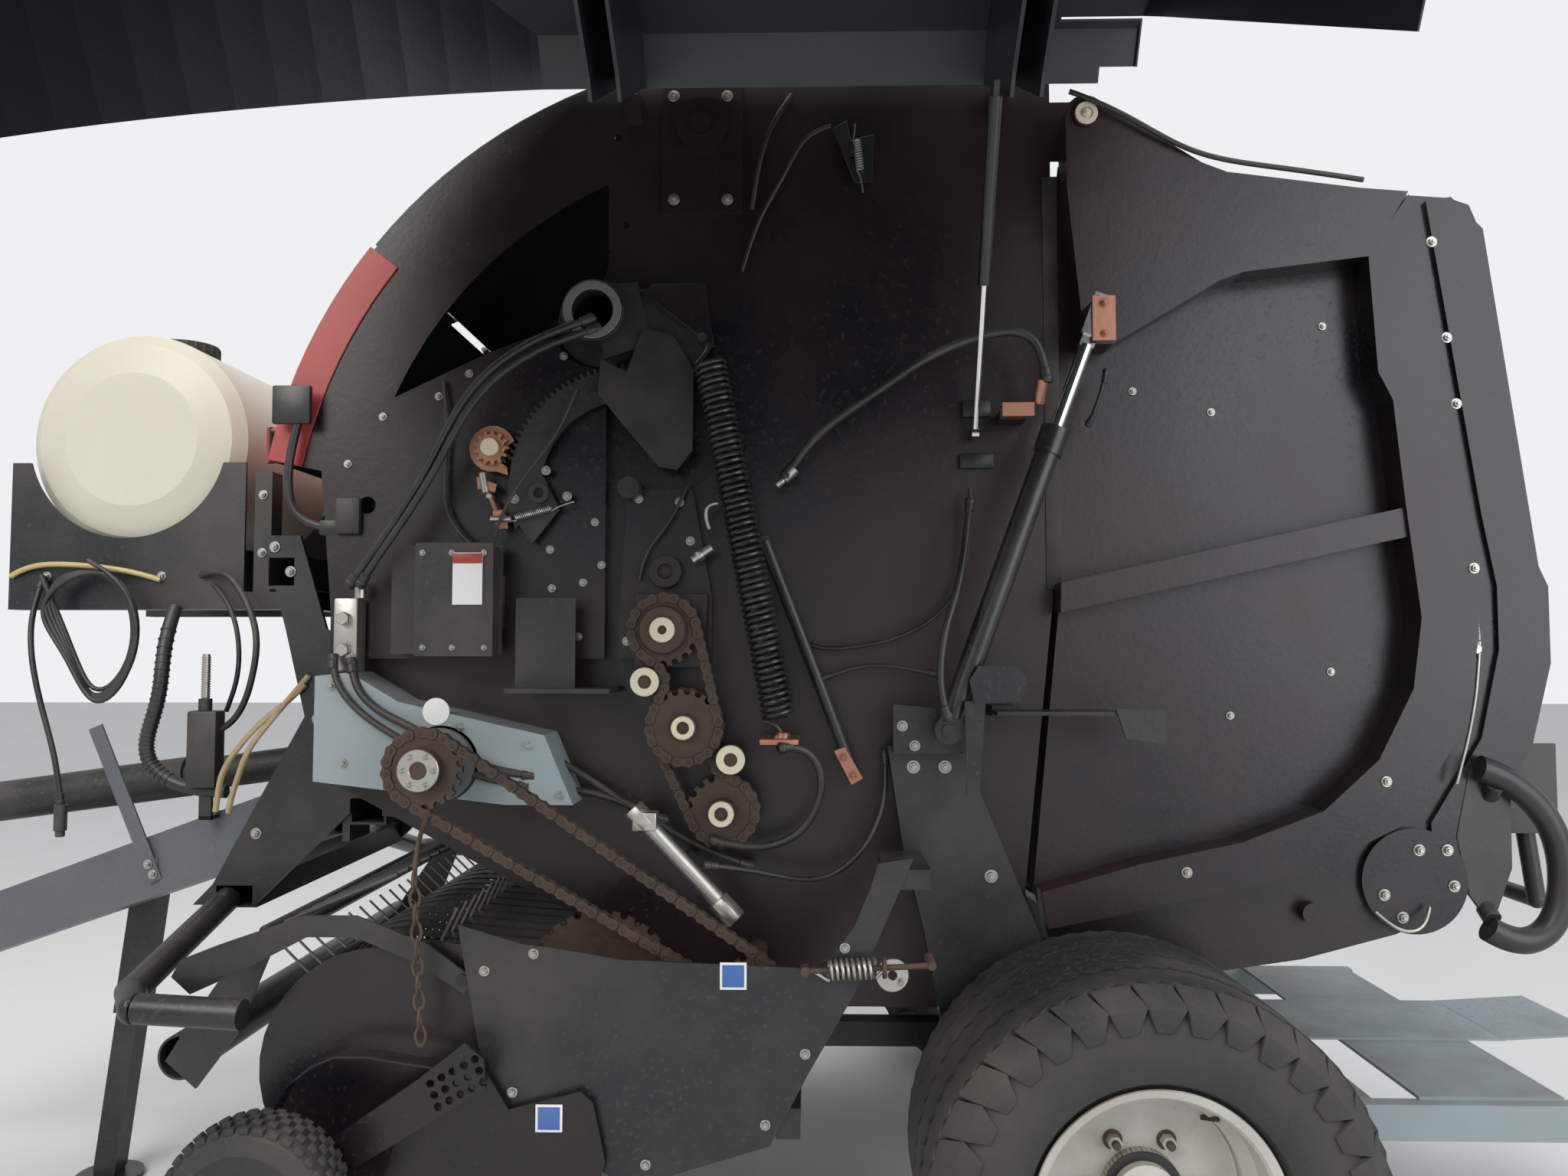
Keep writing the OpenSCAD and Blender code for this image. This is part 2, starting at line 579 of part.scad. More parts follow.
// A chain's inner and outer rows of link plates, on both sides of the teeth
module chain(ws, y) {
    ps = pieces(ws);
    for (row = [0, chain_t - 3.5]) plate(y - row, 3.5) difference() {
        polygon(chain_points(ps, -1));
        polygon(chain_points(ps, 1));
    }
}
module sprocket(at, teeth, y, t) plate(y, t) translate(at) {
    r = pitch_r(teeth);
    difference() {
        circle(r + 7);
        for (k = [0:teeth - 1]) rotate((k + 0.5) * 360 / teeth) translate([r + 3, 0]) circle(8.2, $fn = 10);
    }
}
idlers = [[-996, 1379, 33], [-805, 1208, 33]];
upper_y = 700;
lower_y = 668;
module upper_sprockets() {
    sprocket([drives[0][0], drives[0][1]], drives[0][2], -upper_y - 4, sprocket_t);
    sprocket([drives[1][0], drives[1][1]], drives[1][2], -upper_y - 4, sprocket_t);
    sprocket([drives[1][0], drives[1][1]], drives[1][2], -lower_y - 4, sprocket_t);
    sprocket([drives[2][0], drives[2][1]], drives[2][2], -lower_y - 4, sprocket_t);
    bar(drives[0][0], drives[0][1], -740, -wall_y - 32 - gap, 50);
    for (i = [1, 2]) bar(drives[i][0], drives[i][1], -730, -wall_y - gap, 30);
    for (d = idlers) {
        ring(d[0], d[1], -726, -690, d[2], 20);
        bar(d[0], d[1], -730, -wall_y - gap, 14);
    }
    bar(-959, 1628, -660, -wall_y - 32, 37);
}
chain_a = [[drives[0][0], drives[0][1], pitch_r(drives[0][2]), 1], [idlers[0][0], idlers[0][1], idlers[0][2] + 11, -1],
           [drives[1][0], drives[1][1], pitch_r(drives[1][2]), 1]];
chain_b = [[drives[1][0], drives[1][1], pitch_r(drives[1][2]), 1], [drives[2][0], drives[2][1], pitch_r(drives[2][2]), 1],
           [idlers[1][0], idlers[1][1], idlers[1][2] + 11, -1]];
main_y = 850;
main_teeth = 19;
small_teeth = 11;
small_at = [-749, 769];
big_at = [-1076, 732];
big_r = 155;
module sprockets() color("#4d3b31") from_axle() {
    upper_sprockets();
    sprocket(gearbox_at, main_teeth, -main_y - 4, sprocket_t);
    bar(gearbox_at[0], gearbox_at[1], -main_y - 45, -775, 45);
    sprocket(small_at, small_teeth, -main_y - 4, sprocket_t);
    bar(small_at[0], small_at[1], -main_y - 30, -half_w - wall_t - gap, 22);
    plate(-795, 10) translate(big_at) difference() {
        circle(big_r + 8);
        circle(25 + gap);
        for (k = [0:29]) rotate(k * 12) translate([big_r + 5, 0]) circle(9, $fn = 8);
    }
    ring(big_at[0], big_at[1], -830, -785, 40, 25 + gap);
}
main_loop = [[gearbox_at[0], gearbox_at[1], pitch_r(main_teeth), 1],
             [small_at[0], small_at[1], pitch_r(small_teeth), 1]];
module chains() color("#5a4030") from_axle() {
    chain(chain_a, -upper_y);
    chain(chain_b, -lower_y);
    chain(main_loop, -main_y);
}

// Tailgate: side skins with box panel, channels and rib, joined by cross tubes
skin = concat([[-48, 2560], [-55, 1560], [-122, 905], [-80, 770]],
    [[136, 700], [481, 752], [693, 809], [772, 850], [772, 992], [868, 992], [1003, 1235], [1050, 1420],
     [1053, 1594], [1030, 1640], [929, 2424], [905, 2485], [858, 2502], [300, 2545], [100, 2640]],
    arc(pivot, 96, -20, -118, 8));
box_panel = concat([[-8, 2140], [54, 2140], [298, 2284], [351, 2303], [632, 2337], [723, 2485], [616, 2494],
    [318, 2534], [262, 2556]], arc(pivot, 46, 64, 180, 6), [[-44, 2500]]);
channel_out = [[726, 2480], [788, 1983], [831, 1644], [852, 1570], [852, 1477], [807, 1264], [678, 1066],
               [452, 955], [14, 858], [-105, 835]];
channel_in = [[-118, 915], [98, 977], [324, 1026], [503, 1095], [626, 1207], [706, 1364], [728, 1522],
              [700, 1775], [678, 2011], [647, 2074], [632, 2345]];
tail_rolls = [[800, 2400], [945, 1600], [800, 1120], [590, 900], [60, 800], [90, 2560]];
eye_at = [8, 2202];

// A pressing: an outline with a face 5 mm thick at its outer end and a rim of thickness t
module pressed(points, t, y, depth) {
    plate(y, depth) rim_strip(points, t);
    plate(y - depth + 5, 5) polygon(points);
}
module tailgate_side() {
    // Skin, with drain holes behind the pressings
    plate(-half_w, wall_t) difference() {
        polygon(skin);
        for (h = [[200, 2300], [780, 1500], [300, 1650]]) translate(h) circle(12);
    }
    difference() {
        pressed(box_panel, 5, -wall_y - 4, channel_d);
        bar(pivot[0], pivot[1], -720, -600, pivot_r + fit);
        bar(pivot[0], pivot[1], -wall_y - 20, -600, ear_r + 14);
    }
    plate(-wall_y + 1, 6) polygon([[54, 2140], [298, 2284], [351, 2303], [632, 2337], [723, 2485], [318, 2534],
        [200, 2560], [100, 2500], [54, 2400]]);
    pressed(concat(channel_out, channel_in), -5, -wall_y + 1, channel_d + 1);
    pressed([[-65, 1601], [700, 1768], [722, 1706], [-67, 1534]], -5, -wall_y + 1, channel_d - 9);
    // Rear flange, catch plate and cylinder boss
    plate(-wall_y, 12) polygon([[858, 2500], [929, 2424], [1030, 1640], [1050, 1594], [1050, 1420], [1003, 1235],
        [868, 992], [772, 992], [772, 1060], [890, 1250], [935, 1450], [935, 1594], [905, 1760], [800, 2490]]);
    plate(-wall_y, 16) translate([730, 930]) circle(118);
    bar(496, 860, -640, -wall_y, 24);
    bar(eye_at[0], eye_at[1], -745, -wall_y - channel_d, 24);
}
module tailgate_side_left() color("#2f2528") from_axle() tailgate_side();
module tailgate_side_right() color("#2f2528") from_axle() on_right() tailgate_side();

module tailgate_frame() color("#232426") from_axle() {
    for (t = [[330, 2455, 80], [890, 1800, 60], [720, 860, 70]])
        cross_tube(t[0] - t[2] / 2, t[1] - t[2] / 2, t[2], t[2], chamber_w - 2 * gap, 5);
    // Rear cross tube with its hoop and clamps
    cross_tube(940, 1190, 50, 50, chamber_w - 2 * gap, 5);
    for (s = [-1, 1]) {
        translate([985, s * 500 - 5, 1020]) cube([140, 10, 210]);
        rod([1060, s * 470, 1080], [1090, s * 470, 860], 20);
        translate([1090, s * 470, 860]) sphere(r = 21);
        translate([985, s * 470 - 15, 1065]) cube([80, 30, 20]);
    }
    rod([1090, -470, 860], [1090, 470, 860], 20);
}
module tailgate_rolls() color("#5a5350") from_axle() for (r = tail_rolls) belt_roll(r[0], r[1], tail_roll_r, 20);
function on_roll(i, a0, a1) = arc(tail_rolls[i], tail_roll_r + 1, a0, a1, 5);
rear_belt = concat([[84, 2622]], on_roll(0, 95, 10), on_roll(1, 10, -17), on_roll(2, -17, -44),
                   on_roll(3, -44, -79), on_roll(4, -79, -175), [[3, 1200], [30, 2540]]);
module belts_rear() color("#2a2b2a") from_axle() belts(rear_belt, belt_t);

// Tailgate cylinders, opened at the rod's eye
cyl_y = 768;
cyl_foot = [-332, 1277];
cyl_len = norm(eye_at - cyl_foot);
cyl_a = atan2(eye_at[1] - cyl_foot[1], eye_at[0] - cyl_foot[0]);
barrel_len = 700;
module on_cylinder() translate([cyl_foot[0], -cyl_y, cyl_foot[1]]) rotate([0, 90 - cyl_a, 0]) children();
module cylinder_tube() on_cylinder() {
    difference() {
        union() {
            translate([0, 0, 30]) cylinder(r = barrel_r, h = barrel_len - 30);
            translate([0, 0, barrel_len - 60]) cylinder(r = barrel_r + 5, h = 60);
            rotate([90, 0, 0]) translate([0, 0, -20]) cylinder(r = 30, h = 40);
            translate([-25, -20, 0]) cube([50, 40, 40]);
        }
        translate([0, 0, 45]) cylinder(r = rod_r + fit, h = barrel_len);
        rotate([90, 0, 0]) translate([0, 0, -30]) cylinder(r = 14 + fit, h = 60);
    }
}
module cylinder_rod() on_cylinder() {
    translate([0, 0, 250]) cylinder(r = rod_r, h = cyl_len - 250 - 90);
    translate([-16, -10, cyl_len - 95]) cube([32, 20, 50]);
    difference() {
        translate([-22, -18, cyl_len - 70]) cube([44, 12, 95]);
        translate([0, 0, cyl_len]) rotate([90, 0, 0]) cylinder(r = 12, h = 60, center = true);
    }
}
module cylinder_left() color("#151617") from_axle() cylinder_tube();
module rod_left() color("#a9a9a6") from_axle() cylinder_rod();
module cylinder_right() color("#151617") from_axle() on_right() cylinder_tube();
module rod_right() color("#a9a9a6") from_axle() on_right() cylinder_rod();

// Side shields, drawn closed and swung about the hinge above the wall
shield_front_r = 1275;
function shield_outline(t) = concat(
    [[120 - t, 2803 - t], [150 - t, 2700], [249 - t, 1350], [225 - t, 1280 + t], [100, 1150 + t], [-1300, 1020 + t],
     [-1850, 1240 + t], [-1960 + t, 1420]],
    arc(hood_c, shield_front_r - t, 174, 112, 14), [[-1140, 2803 - t]]);
function shield_section(t) = [[665, 2803 - t], [780, 2803 - t], [880, 2740 - t], [960 - t, 2600], [shield_y - t, 2420],
    [shield_y - t, 900], [665, 900]];
module shield_shell() difference() {
    intersection() {
        translate([0, -665, 0]) rotate([90, 0, 0]) linear_extrude(shield_y - 665) polygon(shield_outline(0));
        translate([-2100, 0, 0]) rotate([90, 0, 90]) linear_extrude(2500)
            polygon([for (p = shield_section(0)) [-p[0], p[1]]]);
    }
    intersection() {
        translate([0, -660, 0]) rotate([90, 0, 0]) linear_extrude(shield_y - 660) polygon(shield_outline(shield_t));
        translate([-2110, 0, 0]) rotate([90, 0, 90]) linear_extrude(2520)
            polygon(concat([for (p = shield_section(shield_t)) [-p[0], p[1]]], [[-650, 900], [-650, 2797]]));
    }
    // Room for the tailgate's cylinder eye behind, and for the tyre and leg below
    translate([-60, -805, 900]) cube([400, 200, 1890]);
    translate([40, -700, 900]) cube([300, 100, 1910]);
    translate([-2100, -905, 900]) cube([2500, 300, 760]);
}
module shield_closed() {
    shield_shell();
    for (x = hinge_x) for (dx = [-34, 26]) translate([x + dx, 0, 0]) difference() {
        rotate([90, 0, 90]) linear_extrude(8) polygon([[-665, 2800], [-780, 2800], [-880, 2736], [-955, 2600],
            [-shield_y + 6, 2420], [-shield_y + 6, 2200], [-900, 2300], [-715, 2390], [-668, 2400], [-668, 2745]]);
        translate([-5, -shield_hinge[0], shield_hinge[1]]) rotate([0, 90, 0]) cylinder(r = 10 + fit, h = 20);
    }
}
module swung(a) translate([0, -shield_hinge[0], shield_hinge[1]]) rotate([a, 0, 0])
    translate([0, shield_hinge[0], -shield_hinge[1]]) children();
module shield_left() color("#8e1f1b") from_axle() swung(-shield_lift) shield_closed();
module shield_right() color("#8e1f1b") from_axle() on_right() shield_closed();

// Gas struts: rod on the wall, tube towards the shield, open at the tube's eye
strut_foot = [-640, 1947];
strut_x = -250;
strut_eye_r = 350;
strut_tube_len = 400;
function strut_eye(a) = [-shield_hinge[0] - strut_eye_r * sin(a), shield_hinge[1] - strut_eye_r * cos(a)];
module on_strut(a) {
    d = strut_eye(a) - strut_foot;
    translate([strut_x, strut_foot[0], strut_foot[1]]) rotate([atan2(-d[0], d[1]), 0, 0]) children();
}
function strut_len(a) = norm(strut_eye(a) - strut_foot);
module strut_rod(a) on_strut(a) {
    cylinder(r = 7, h = 410);
    rotate([0, 90, 0]) translate([0, 0, -8]) cylinder(r = 14, h = 16);
}
module strut_tube(a) on_strut(a) difference() {
    union() {
        translate([0, 0, strut_len(a) - strut_tube_len]) cylinder(r = strut_r, h = strut_tube_len - 20);
        translate([-6, -10, strut_len(a) - 25]) cube([12, 20, 35]);
    }
    translate([0, 0, strut_len(a) - strut_tube_len - 1]) cylinder(r = 7 + fit, h = 360);
    translate([-10, 0, strut_len(a)]) rotate([0, 90, 0]) cylinder(r = 6, h = 20);
}
module strut_rod_left() color("#b0b2b4") from_axle() strut_rod(shield_lift);
module strut_tube_left() color("#17181a") from_axle() strut_tube(shield_lift);
module strut_rod_right() color("#b0b2b4") from_axle() on_right() strut_rod(0);
module strut_tube_right() color("#17181a") from_axle() on_right() strut_tube(0);

// Feeder housing between pickup and chamber
panel_y = 920;
panel_outline = [[-1346, 892], [-1300, 647], [-1245, 515], [-990, 373], [-851, 416], [-711, 458], [-634, 600],
    [-540, 760], [-420, 1030], [-492, 1018], [-508, 969], [-541, 892], [-584, 837], [-640, 809], [-920, 820],
    [-1008, 823], [-1130, 843], [-1214, 853]];
module feeder_panels() color("#2a2c2e") from_axle() {
    both_sides() {
        plate(-panel_y, 6) polygon(panel_outline);
        translate([-480, -panel_y, 965]) cube([95, panel_y - leg_y - gap, 40]);
        translate([-700, -panel_y, 470]) cube([50, panel_y - 300, 60]);
    }
    translate([-700, -320, 470]) cube([50, 640, 60]);
    for (s = [-1, 1]) beam([-690, s * 330, 500], [-215.3, s * 330, 500], 60, 60);
}
module feeder_rotor() color("#4a4745") from_axle() {
    drum(big_at[0], big_at[1], 780, 62, 25, panel_y - gap);
    for (k = [-5:5]) plate(k * 130 + 5, 10) translate(big_at) polygon([for (i = [0:11])
        let (r = i % 2 == 0 ? 122 : 70) [r * cos(i * 30), r * sin(i * 30)]]);
}

// Pickup: side shields, stripper bands, tined reel, windguard and gauge wheels
reel_at = [-1520, 590];
pickup_y = 880;
pickup_disc = concat(arc(reel_at, band_r, 100, 250, 14), [[-1400, 330], [-1250, 420], [-1170, 520], [-1160, 640],
    [-1180, 828], [-1300, 836], [-1400, 850]]);
fender = [[-1366, 629], [-1501, 649], [-1570, 649], [-1616, 629], [-1665, 590], [-1700, 520]];
skid = [[-1454, 490], [-1300, 640], [-1233, 533], [-1088, 569], [-1063, 547], [-1038, 433], [-1060, 352],
        [-1300, 330], [-1480, 400]];
gauge_at = [-1681, 397];
gauge_y = 1075;
arm_outline = [[-1402, 606], [-1308, 679], [-1270, 648], [-1266, 592], [-1350, 540], [-1640, 365], [-1700, 360],
               [-1712, 398], [-1660, 430]];
module pickup_frame() color("#322630") from_axle() both_sides() {
    plate(-pickup_y, 8) polygon(pickup_disc);
    plate(-940, 6) polygon(skid);
    translate([-1400, -945, 520]) cube([40, 945 - pickup_y - 8, 40]);
    bar(guard_pivot[0], guard_pivot[1], -918, -pickup_y - 1, 12);
    // Pivot arms that carry the pickup about the feeder shaft
    plate(-pickup_y + 10, 10) difference() {
        polygon([[-1300, 500], [-1290, 640], [-1090, 790], [-1040, 780], [-1022, 720], [-1070, 675]]);
        translate(big_at) circle(25 + fit);
    }
    // Gauge wheel arm, spindle and fender
    plate(-985, 10) difference() {
        polygon(arm_outline);
        for (i = [0:4], j = [0:2]) translate([-1375 + i * 22 + j * 8, 600 + i * 12 - j * 22]) circle(8);
    }
    translate([-1330, -990, 590]) cube([40, 45 + 5, 40]);
    bar(gauge_at[0], gauge_at[1], -gauge_y - 45, -985, 16);
    plate(-945, 45) polygon(thick(fender, 4));
}
band_count = 21;
module pickup_bands() color("#3a3b3c") from_axle() {
    for (i = [0:band_count]) plate((i - band_count / 2) * band_pitch + 24, 48)
        polygon(concat(arc(reel_at, band_r, 85, 265, 20), [[-1238, 350], [-1238, 354]],
                       arc(reel_at, band_r - 4, 265, 85, 20), [[-1205, 806], [-1205, 810]]));
    translate([-1250, -pickup_y + gap, 346]) cube([30, 2 * pickup_y - 2 * gap, 30]);
    translate([-1215, -770, 800]) cube([20, 1540, 18]);
}
tine_bars = 5;
module tine_reel() color("#6d6a66") from_axle() {
    bar(reel_at[0], reel_at[1], -pickup_y + gap, pickup_y - gap, 30);
    for (y = [-820, 0, 820]) bar(reel_at[0], reel_at[1], y - 4, y + 4, 150);
    for (k = [0:tine_bars - 1]) translate([reel_at[0], 0, reel_at[1]]) rotate([0, k * 360 / tine_bars, 0]) {
        translate([135, 835, 0]) rotate([90, 0, 0]) cylinder(r = 14, h = 1670);
        for (i = [0:band_count + 1]) translate([135, (i - (band_count + 1) / 2) * band_pitch, 0])
            rotate([0, 98, 0]) cylinder(r = 3.2, h = tine_tip_r - 137, $fn = 6);
    }
}
guard_arm = [[-1940, 780], [-1921, 815], [-1844, 845], [-1668, 905], [-1560, 905], [-1413, 850], [-1315, 780],
             [-1335, 750], [-1430, 810], [-1560, 862], [-1660, 862], [-1800, 790], [-1900, 745]];
guard_pivot = [-1338, 778];
module windguard() color("#27292b") from_axle() {
    both_sides() {
        plate(-905, 8) difference() {
            polygon(guard_arm);
            translate(guard_pivot) circle(12 + fit);
        }
        plate(-699, 8) polygon([[-1900, 780], [-1820, 800], [-1900, 600], [-1990, 480], [-2060, 540], [-2010, 620]]);
    }
    bar(-1870, 790, -905, 905, 22);
    ring(-2031, 546, -700, 700, guard_roll_r, guard_roll_r - 5);
    bar(-1750, 870, -905, 905, 14);
    for (i = [-12:12]) rod([-1750, i * band_pitch, 870], [-1500, i * band_pitch, 975], 6);
}
module gauge_wheel() translate([gauge_at[0], -gauge_y, gauge_at[1]]) rotate([90, 0, 0]) difference() {
    union() {
        rotate_extrude($fn = 64) polygon([[70, -40], [78, -50], [120, -gauge_w / 2], [150, -gauge_w / 2 + 6],
            [gauge_r - 3, -gauge_w / 2 + 22], [gauge_r, 0], [gauge_r - 3, gauge_w / 2 - 22],
            [150, gauge_w / 2 - 6], [120, gauge_w / 2], [78, 50], [70, 40]]);
        translate([0, 0, -6]) cylinder(r = 71, h = 8);
        translate([0, 0, -40]) cylinder(r = 28, h = 80);
    }
    translate([0, 0, -50]) cylinder(r = 16 + fit, h = 100);
}
module gauge_wheel_left() color("#1c1c1c") from_axle() gauge_wheel();
module gauge_wheel_right() color("#1c1c1c") from_axle() on_right() gauge_wheel();

// Additive tank in its cradle over the tongue
tank_at = [-2400, 2000];
module tank() color("#efe9dc") from_axle() difference() {
    union() {
        tank_form(0);
        translate([tank_at[0] - 40, 0, tank_at[1] + tank_r - 16]) cylinder(r = 80, h = 26);
    }
    tank_form(7);
    translate([tank_at[0] - 40, 0, tank_at[1] + 200]) cylinder(r = 72, h = 200);
}
module tank_form(t) translate([tank_at[0], 0, tank_at[1]]) rotate([90, 0, 0]) rotate_extrude($fn = 96)
    polygon([[0, -330 + t], [tank_r - 110, -330 + t], [tank_r - 30 - t, -308 + t], [tank_r - t, -280],
             [tank_r - t, 280], [tank_r - 30 - t, 308 - t], [tank_r - 110, 330 - t], [0, 330 - t]]);
module tank_cap() color("#2a2b2d") from_axle() translate([tank_at[0] - 40, 0, tank_at[1] + tank_r + 10 + gap]) {
    cylinder(r = 88, h = 34);
    translate([0, 0, -20]) cylinder(r = 72 - gap, h = 20);
}
module tank_cradle() color("#1d1e20") from_axle() {
    both_sides() {
        plate(-337, 8) difference() {
            polygon([[-2700, 1598], [-2700, 1935], [-2087, 1935], [-2087, 1598]]);
            translate(tank_at) circle(tank_r - 24);
        }
        translate([-2700, -345, 1554]) cube([790, 60, 46 - gap]);
        translate([-2062, -345, 1598]) cube([44, 60, 312]);
    }
    difference() {
        for (x = [-2530, -2290]) translate([x, -337, 1598]) cube([12, 674, 172]);
        translate([tank_at[0], 0, tank_at[1]]) rotate([90, 0, 0]) cylinder(r = tank_r + gap, h = 800, center = true);
    }
    translate([-1956, -345, 1554]) cube([46, 690, 46 - gap]);
}

// Bale ramp behind the axle
ramp_hinge = [-40, 500];
module ramp() color("#9aa7ac") from_axle() {
    translate([757, -560, 425]) cube([326, 1120, 8]);
    translate([660, -168, 433]) cube([520, 336, 6]);
    beam([1172, 0, 436.5], [1420, 0, 452], 334, 6);
    both_sides() {
        translate([620, -590, 345]) cube([490, 40, 80]);
        translate([620, -550, 345]) cube([60, 260, 60]);
        beam([20, -320, 480], [650, -320, 385], 48, 60);
        difference() {
            bar(ramp_hinge[0], ramp_hinge[1], -350, -290, 30);
            bar(ramp_hinge[0], ramp_hinge[1], -360, -280, 16 + fit);
        }
        translate([-15, -345, 470]) cube([60, 50, 40]);
    }
}

side_wall_left();
side_wall_right();
front_frame();
hood();
front_door();
tongue();
hitch();
jack_sleeve();
jack_leg();
pto_shaft();
gearbox();
gearbox_cover();
axle();
tyre_left();
rim_left();
tyre_right();
rim_right();
chamber_rolls();
belts_front();
take_up();
tension_springs();
knife_gear();
control_box();
side_brackets();
sprockets();
chains();
tailgate_side_left();
tailgate_side_right();
tailgate_frame();
tailgate_rolls();
belts_rear();
cylinder_left();
rod_left();
cylinder_right();
rod_right();
shield_left();
shield_right();
strut_rod_left();
strut_tube_left();
strut_rod_right();
strut_tube_right();
feeder_panels();
feeder_rotor();
pickup_frame();
pickup_bands();
tine_reel();
windguard();
gauge_wheel_left();
gauge_wheel_right();
tank();
tank_cap();
tank_cradle();
ramp();
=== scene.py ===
# %% [markdown]
# # A round baler at rest
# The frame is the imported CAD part: walls, wheels, rolls, shields and joints.
# This script gives each of its nodes a worn finish, and models what CAD leaves
# plain: tread, coils, roller chains, hoses, wires, tines and bolts.
# All places are given in mm from the axle's ground point on the centre line,
# as in the part's own source, and `at` moves them into the frame.

# %% Setup
import json
import math

import bpy
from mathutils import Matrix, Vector


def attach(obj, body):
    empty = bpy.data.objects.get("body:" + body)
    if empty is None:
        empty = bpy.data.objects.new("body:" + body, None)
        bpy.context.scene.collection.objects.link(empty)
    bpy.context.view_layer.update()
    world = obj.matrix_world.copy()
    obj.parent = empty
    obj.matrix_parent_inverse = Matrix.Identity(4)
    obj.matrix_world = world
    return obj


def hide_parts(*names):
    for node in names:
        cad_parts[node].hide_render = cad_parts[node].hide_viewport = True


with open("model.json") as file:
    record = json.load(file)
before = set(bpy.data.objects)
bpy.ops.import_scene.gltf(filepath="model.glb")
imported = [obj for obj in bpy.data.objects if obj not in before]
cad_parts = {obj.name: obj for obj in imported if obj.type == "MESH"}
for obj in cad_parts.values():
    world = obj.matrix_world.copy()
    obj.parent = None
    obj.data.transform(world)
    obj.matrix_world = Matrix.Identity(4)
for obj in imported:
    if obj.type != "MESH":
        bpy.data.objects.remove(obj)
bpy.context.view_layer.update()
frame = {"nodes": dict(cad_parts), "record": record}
NODES = frame["nodes"]
AXLE_X, MID_Y = 0.9125, 0.590
WALL_Y = -608
print("CAD nodes:", len(NODES))


def at(x, y, z):
    return Vector((x / 1000 + AXLE_X, y / 1000 + MID_Y, z / 1000))


# %% [markdown]
# ## Finishes
# Farm machines wear dust, chaff and faded paint more than bare colour. One
# node group holds that weathering: large soft clouds of dust, fine speckle,
# and a bump from both. On the black wall the clouds carry no dust but a painted
# sheen: reddish patches of light on the dark paint. Each finish feeds it two
# colours and its own amounts, so a change in the group reaches every surface.
# It reads Object coordinates, which all pieces share because every origin sits
# at the frame's origin.

# %% Weathering and painted sheen group
def weathering_and_sheen():
    group = bpy.data.node_groups.new("Weathering_and_sheen", "ShaderNodeTree")
    face = group.interface
    for name, kind in (("Base", "NodeSocketColor"), ("Dust_and_sheen", "NodeSocketColor"),
                       ("Amount", "NodeSocketFloat"), ("Scale", "NodeSocketFloat"),
                       ("Rough", "NodeSocketFloat")):
        face.new_socket(name=name, in_out="INPUT", socket_type=kind)
    for name, kind in (("Color", "NodeSocketColor"), ("Roughness", "NodeSocketFloat"),
                       ("Height", "NodeSocketFloat")):
        face.new_socket(name=name, in_out="OUTPUT", socket_type=kind)
    n, link = group.nodes, group.links.new
    into, out = n.new("NodeGroupInput"), n.new("NodeGroupOutput")
    place = n.new("ShaderNodeTexCoord")
    clouds = n.new("ShaderNodeTexNoise")
    clouds.inputs["Detail"].default_value = 9
    clouds.inputs["Roughness"].default_value = 0.62
    link(place.outputs["Object"], clouds.inputs["Vector"])
    link(into.outputs["Scale"], clouds.inputs["Scale"])
    specks = n.new("ShaderNodeTexNoise")
    specks.inputs["Scale"].default_value = 90
    specks.inputs["Detail"].default_value = 5
    link(place.outputs["Object"], specks.inputs["Vector"])
    # Dust, and on the wall its painted sheen, lies more on faces that look up, less on upright ones
    geo, split = n.new("ShaderNodeNewGeometry"), n.new("ShaderNodeSeparateXYZ")
    link(geo.outputs["Normal"], split.inputs[0])
    lying = n.new("ShaderNodeMapRange")
    lying.inputs["From Min"].default_value = -0.2
    lying.inputs["From Max"].default_value = 1.0
    lying.inputs["To Min"].default_value = 0.55
    lying.inputs["To Max"].default_value = 1.7
    link(split.outputs["Z"], lying.inputs["Value"])
    patch = n.new("ShaderNodeMapRange")
    patch.inputs["From Min"].default_value = 0.40
    patch.inputs["From Max"].default_value = 0.72
    link(clouds.outputs["Fac"], patch.inputs["Value"])
    fleck = n.new("ShaderNodeMapRange")
    fleck.inputs["From Min"].default_value = 0.56
    fleck.inputs["From Max"].default_value = 0.72
    fleck.inputs["To Max"].default_value = 0.7
    link(specks.outputs["Fac"], fleck.inputs["Value"])
    both = n.new("ShaderNodeMath")
    both.operation = "MAXIMUM"
    link(patch.outputs[0], both.inputs[0])
    link(fleck.outputs[0], both.inputs[1])
    weigh, hold = n.new("ShaderNodeMath"), n.new("ShaderNodeMath")
    weigh.operation = hold.operation = "MULTIPLY"
    hold.use_clamp = True
    link(both.outputs[0], weigh.inputs[0])
    link(into.outputs["Amount"], weigh.inputs[1])
    link(weigh.outputs[0], hold.inputs[0])
    link(lying.outputs[0], hold.inputs[1])
    mix = n.new("ShaderNodeMix")
    mix.data_type = "RGBA"
    link(hold.outputs[0], mix.inputs["Factor"])
    link(into.outputs["Base"], mix.inputs[6])
    link(into.outputs["Dust_and_sheen"], mix.inputs[7])
    link(mix.outputs[2], out.inputs["Color"])
    dull = n.new("ShaderNodeMath")
    dull.operation = "MULTIPLY_ADD"
    dull.use_clamp = True
    link(hold.outputs[0], dull.inputs[0])
    dull.inputs[1].default_value = 0.4
    link(into.outputs["Rough"], dull.inputs[2])
    link(dull.outputs[0], out.inputs["Roughness"])
    link(specks.outputs["Fac"], out.inputs["Height"])
    return group


WEATHER_AND_SHEEN = weathering_and_sheen()
print("group:", WEATHER_AND_SHEEN.name)


# %% [markdown]
# ### From group to finish
# A finish is a Principled shader behind that group. `metal` is the only
# constant that changes the look from paint to bare steel, and `bump` sets how
# grainy the surface feels from close by.

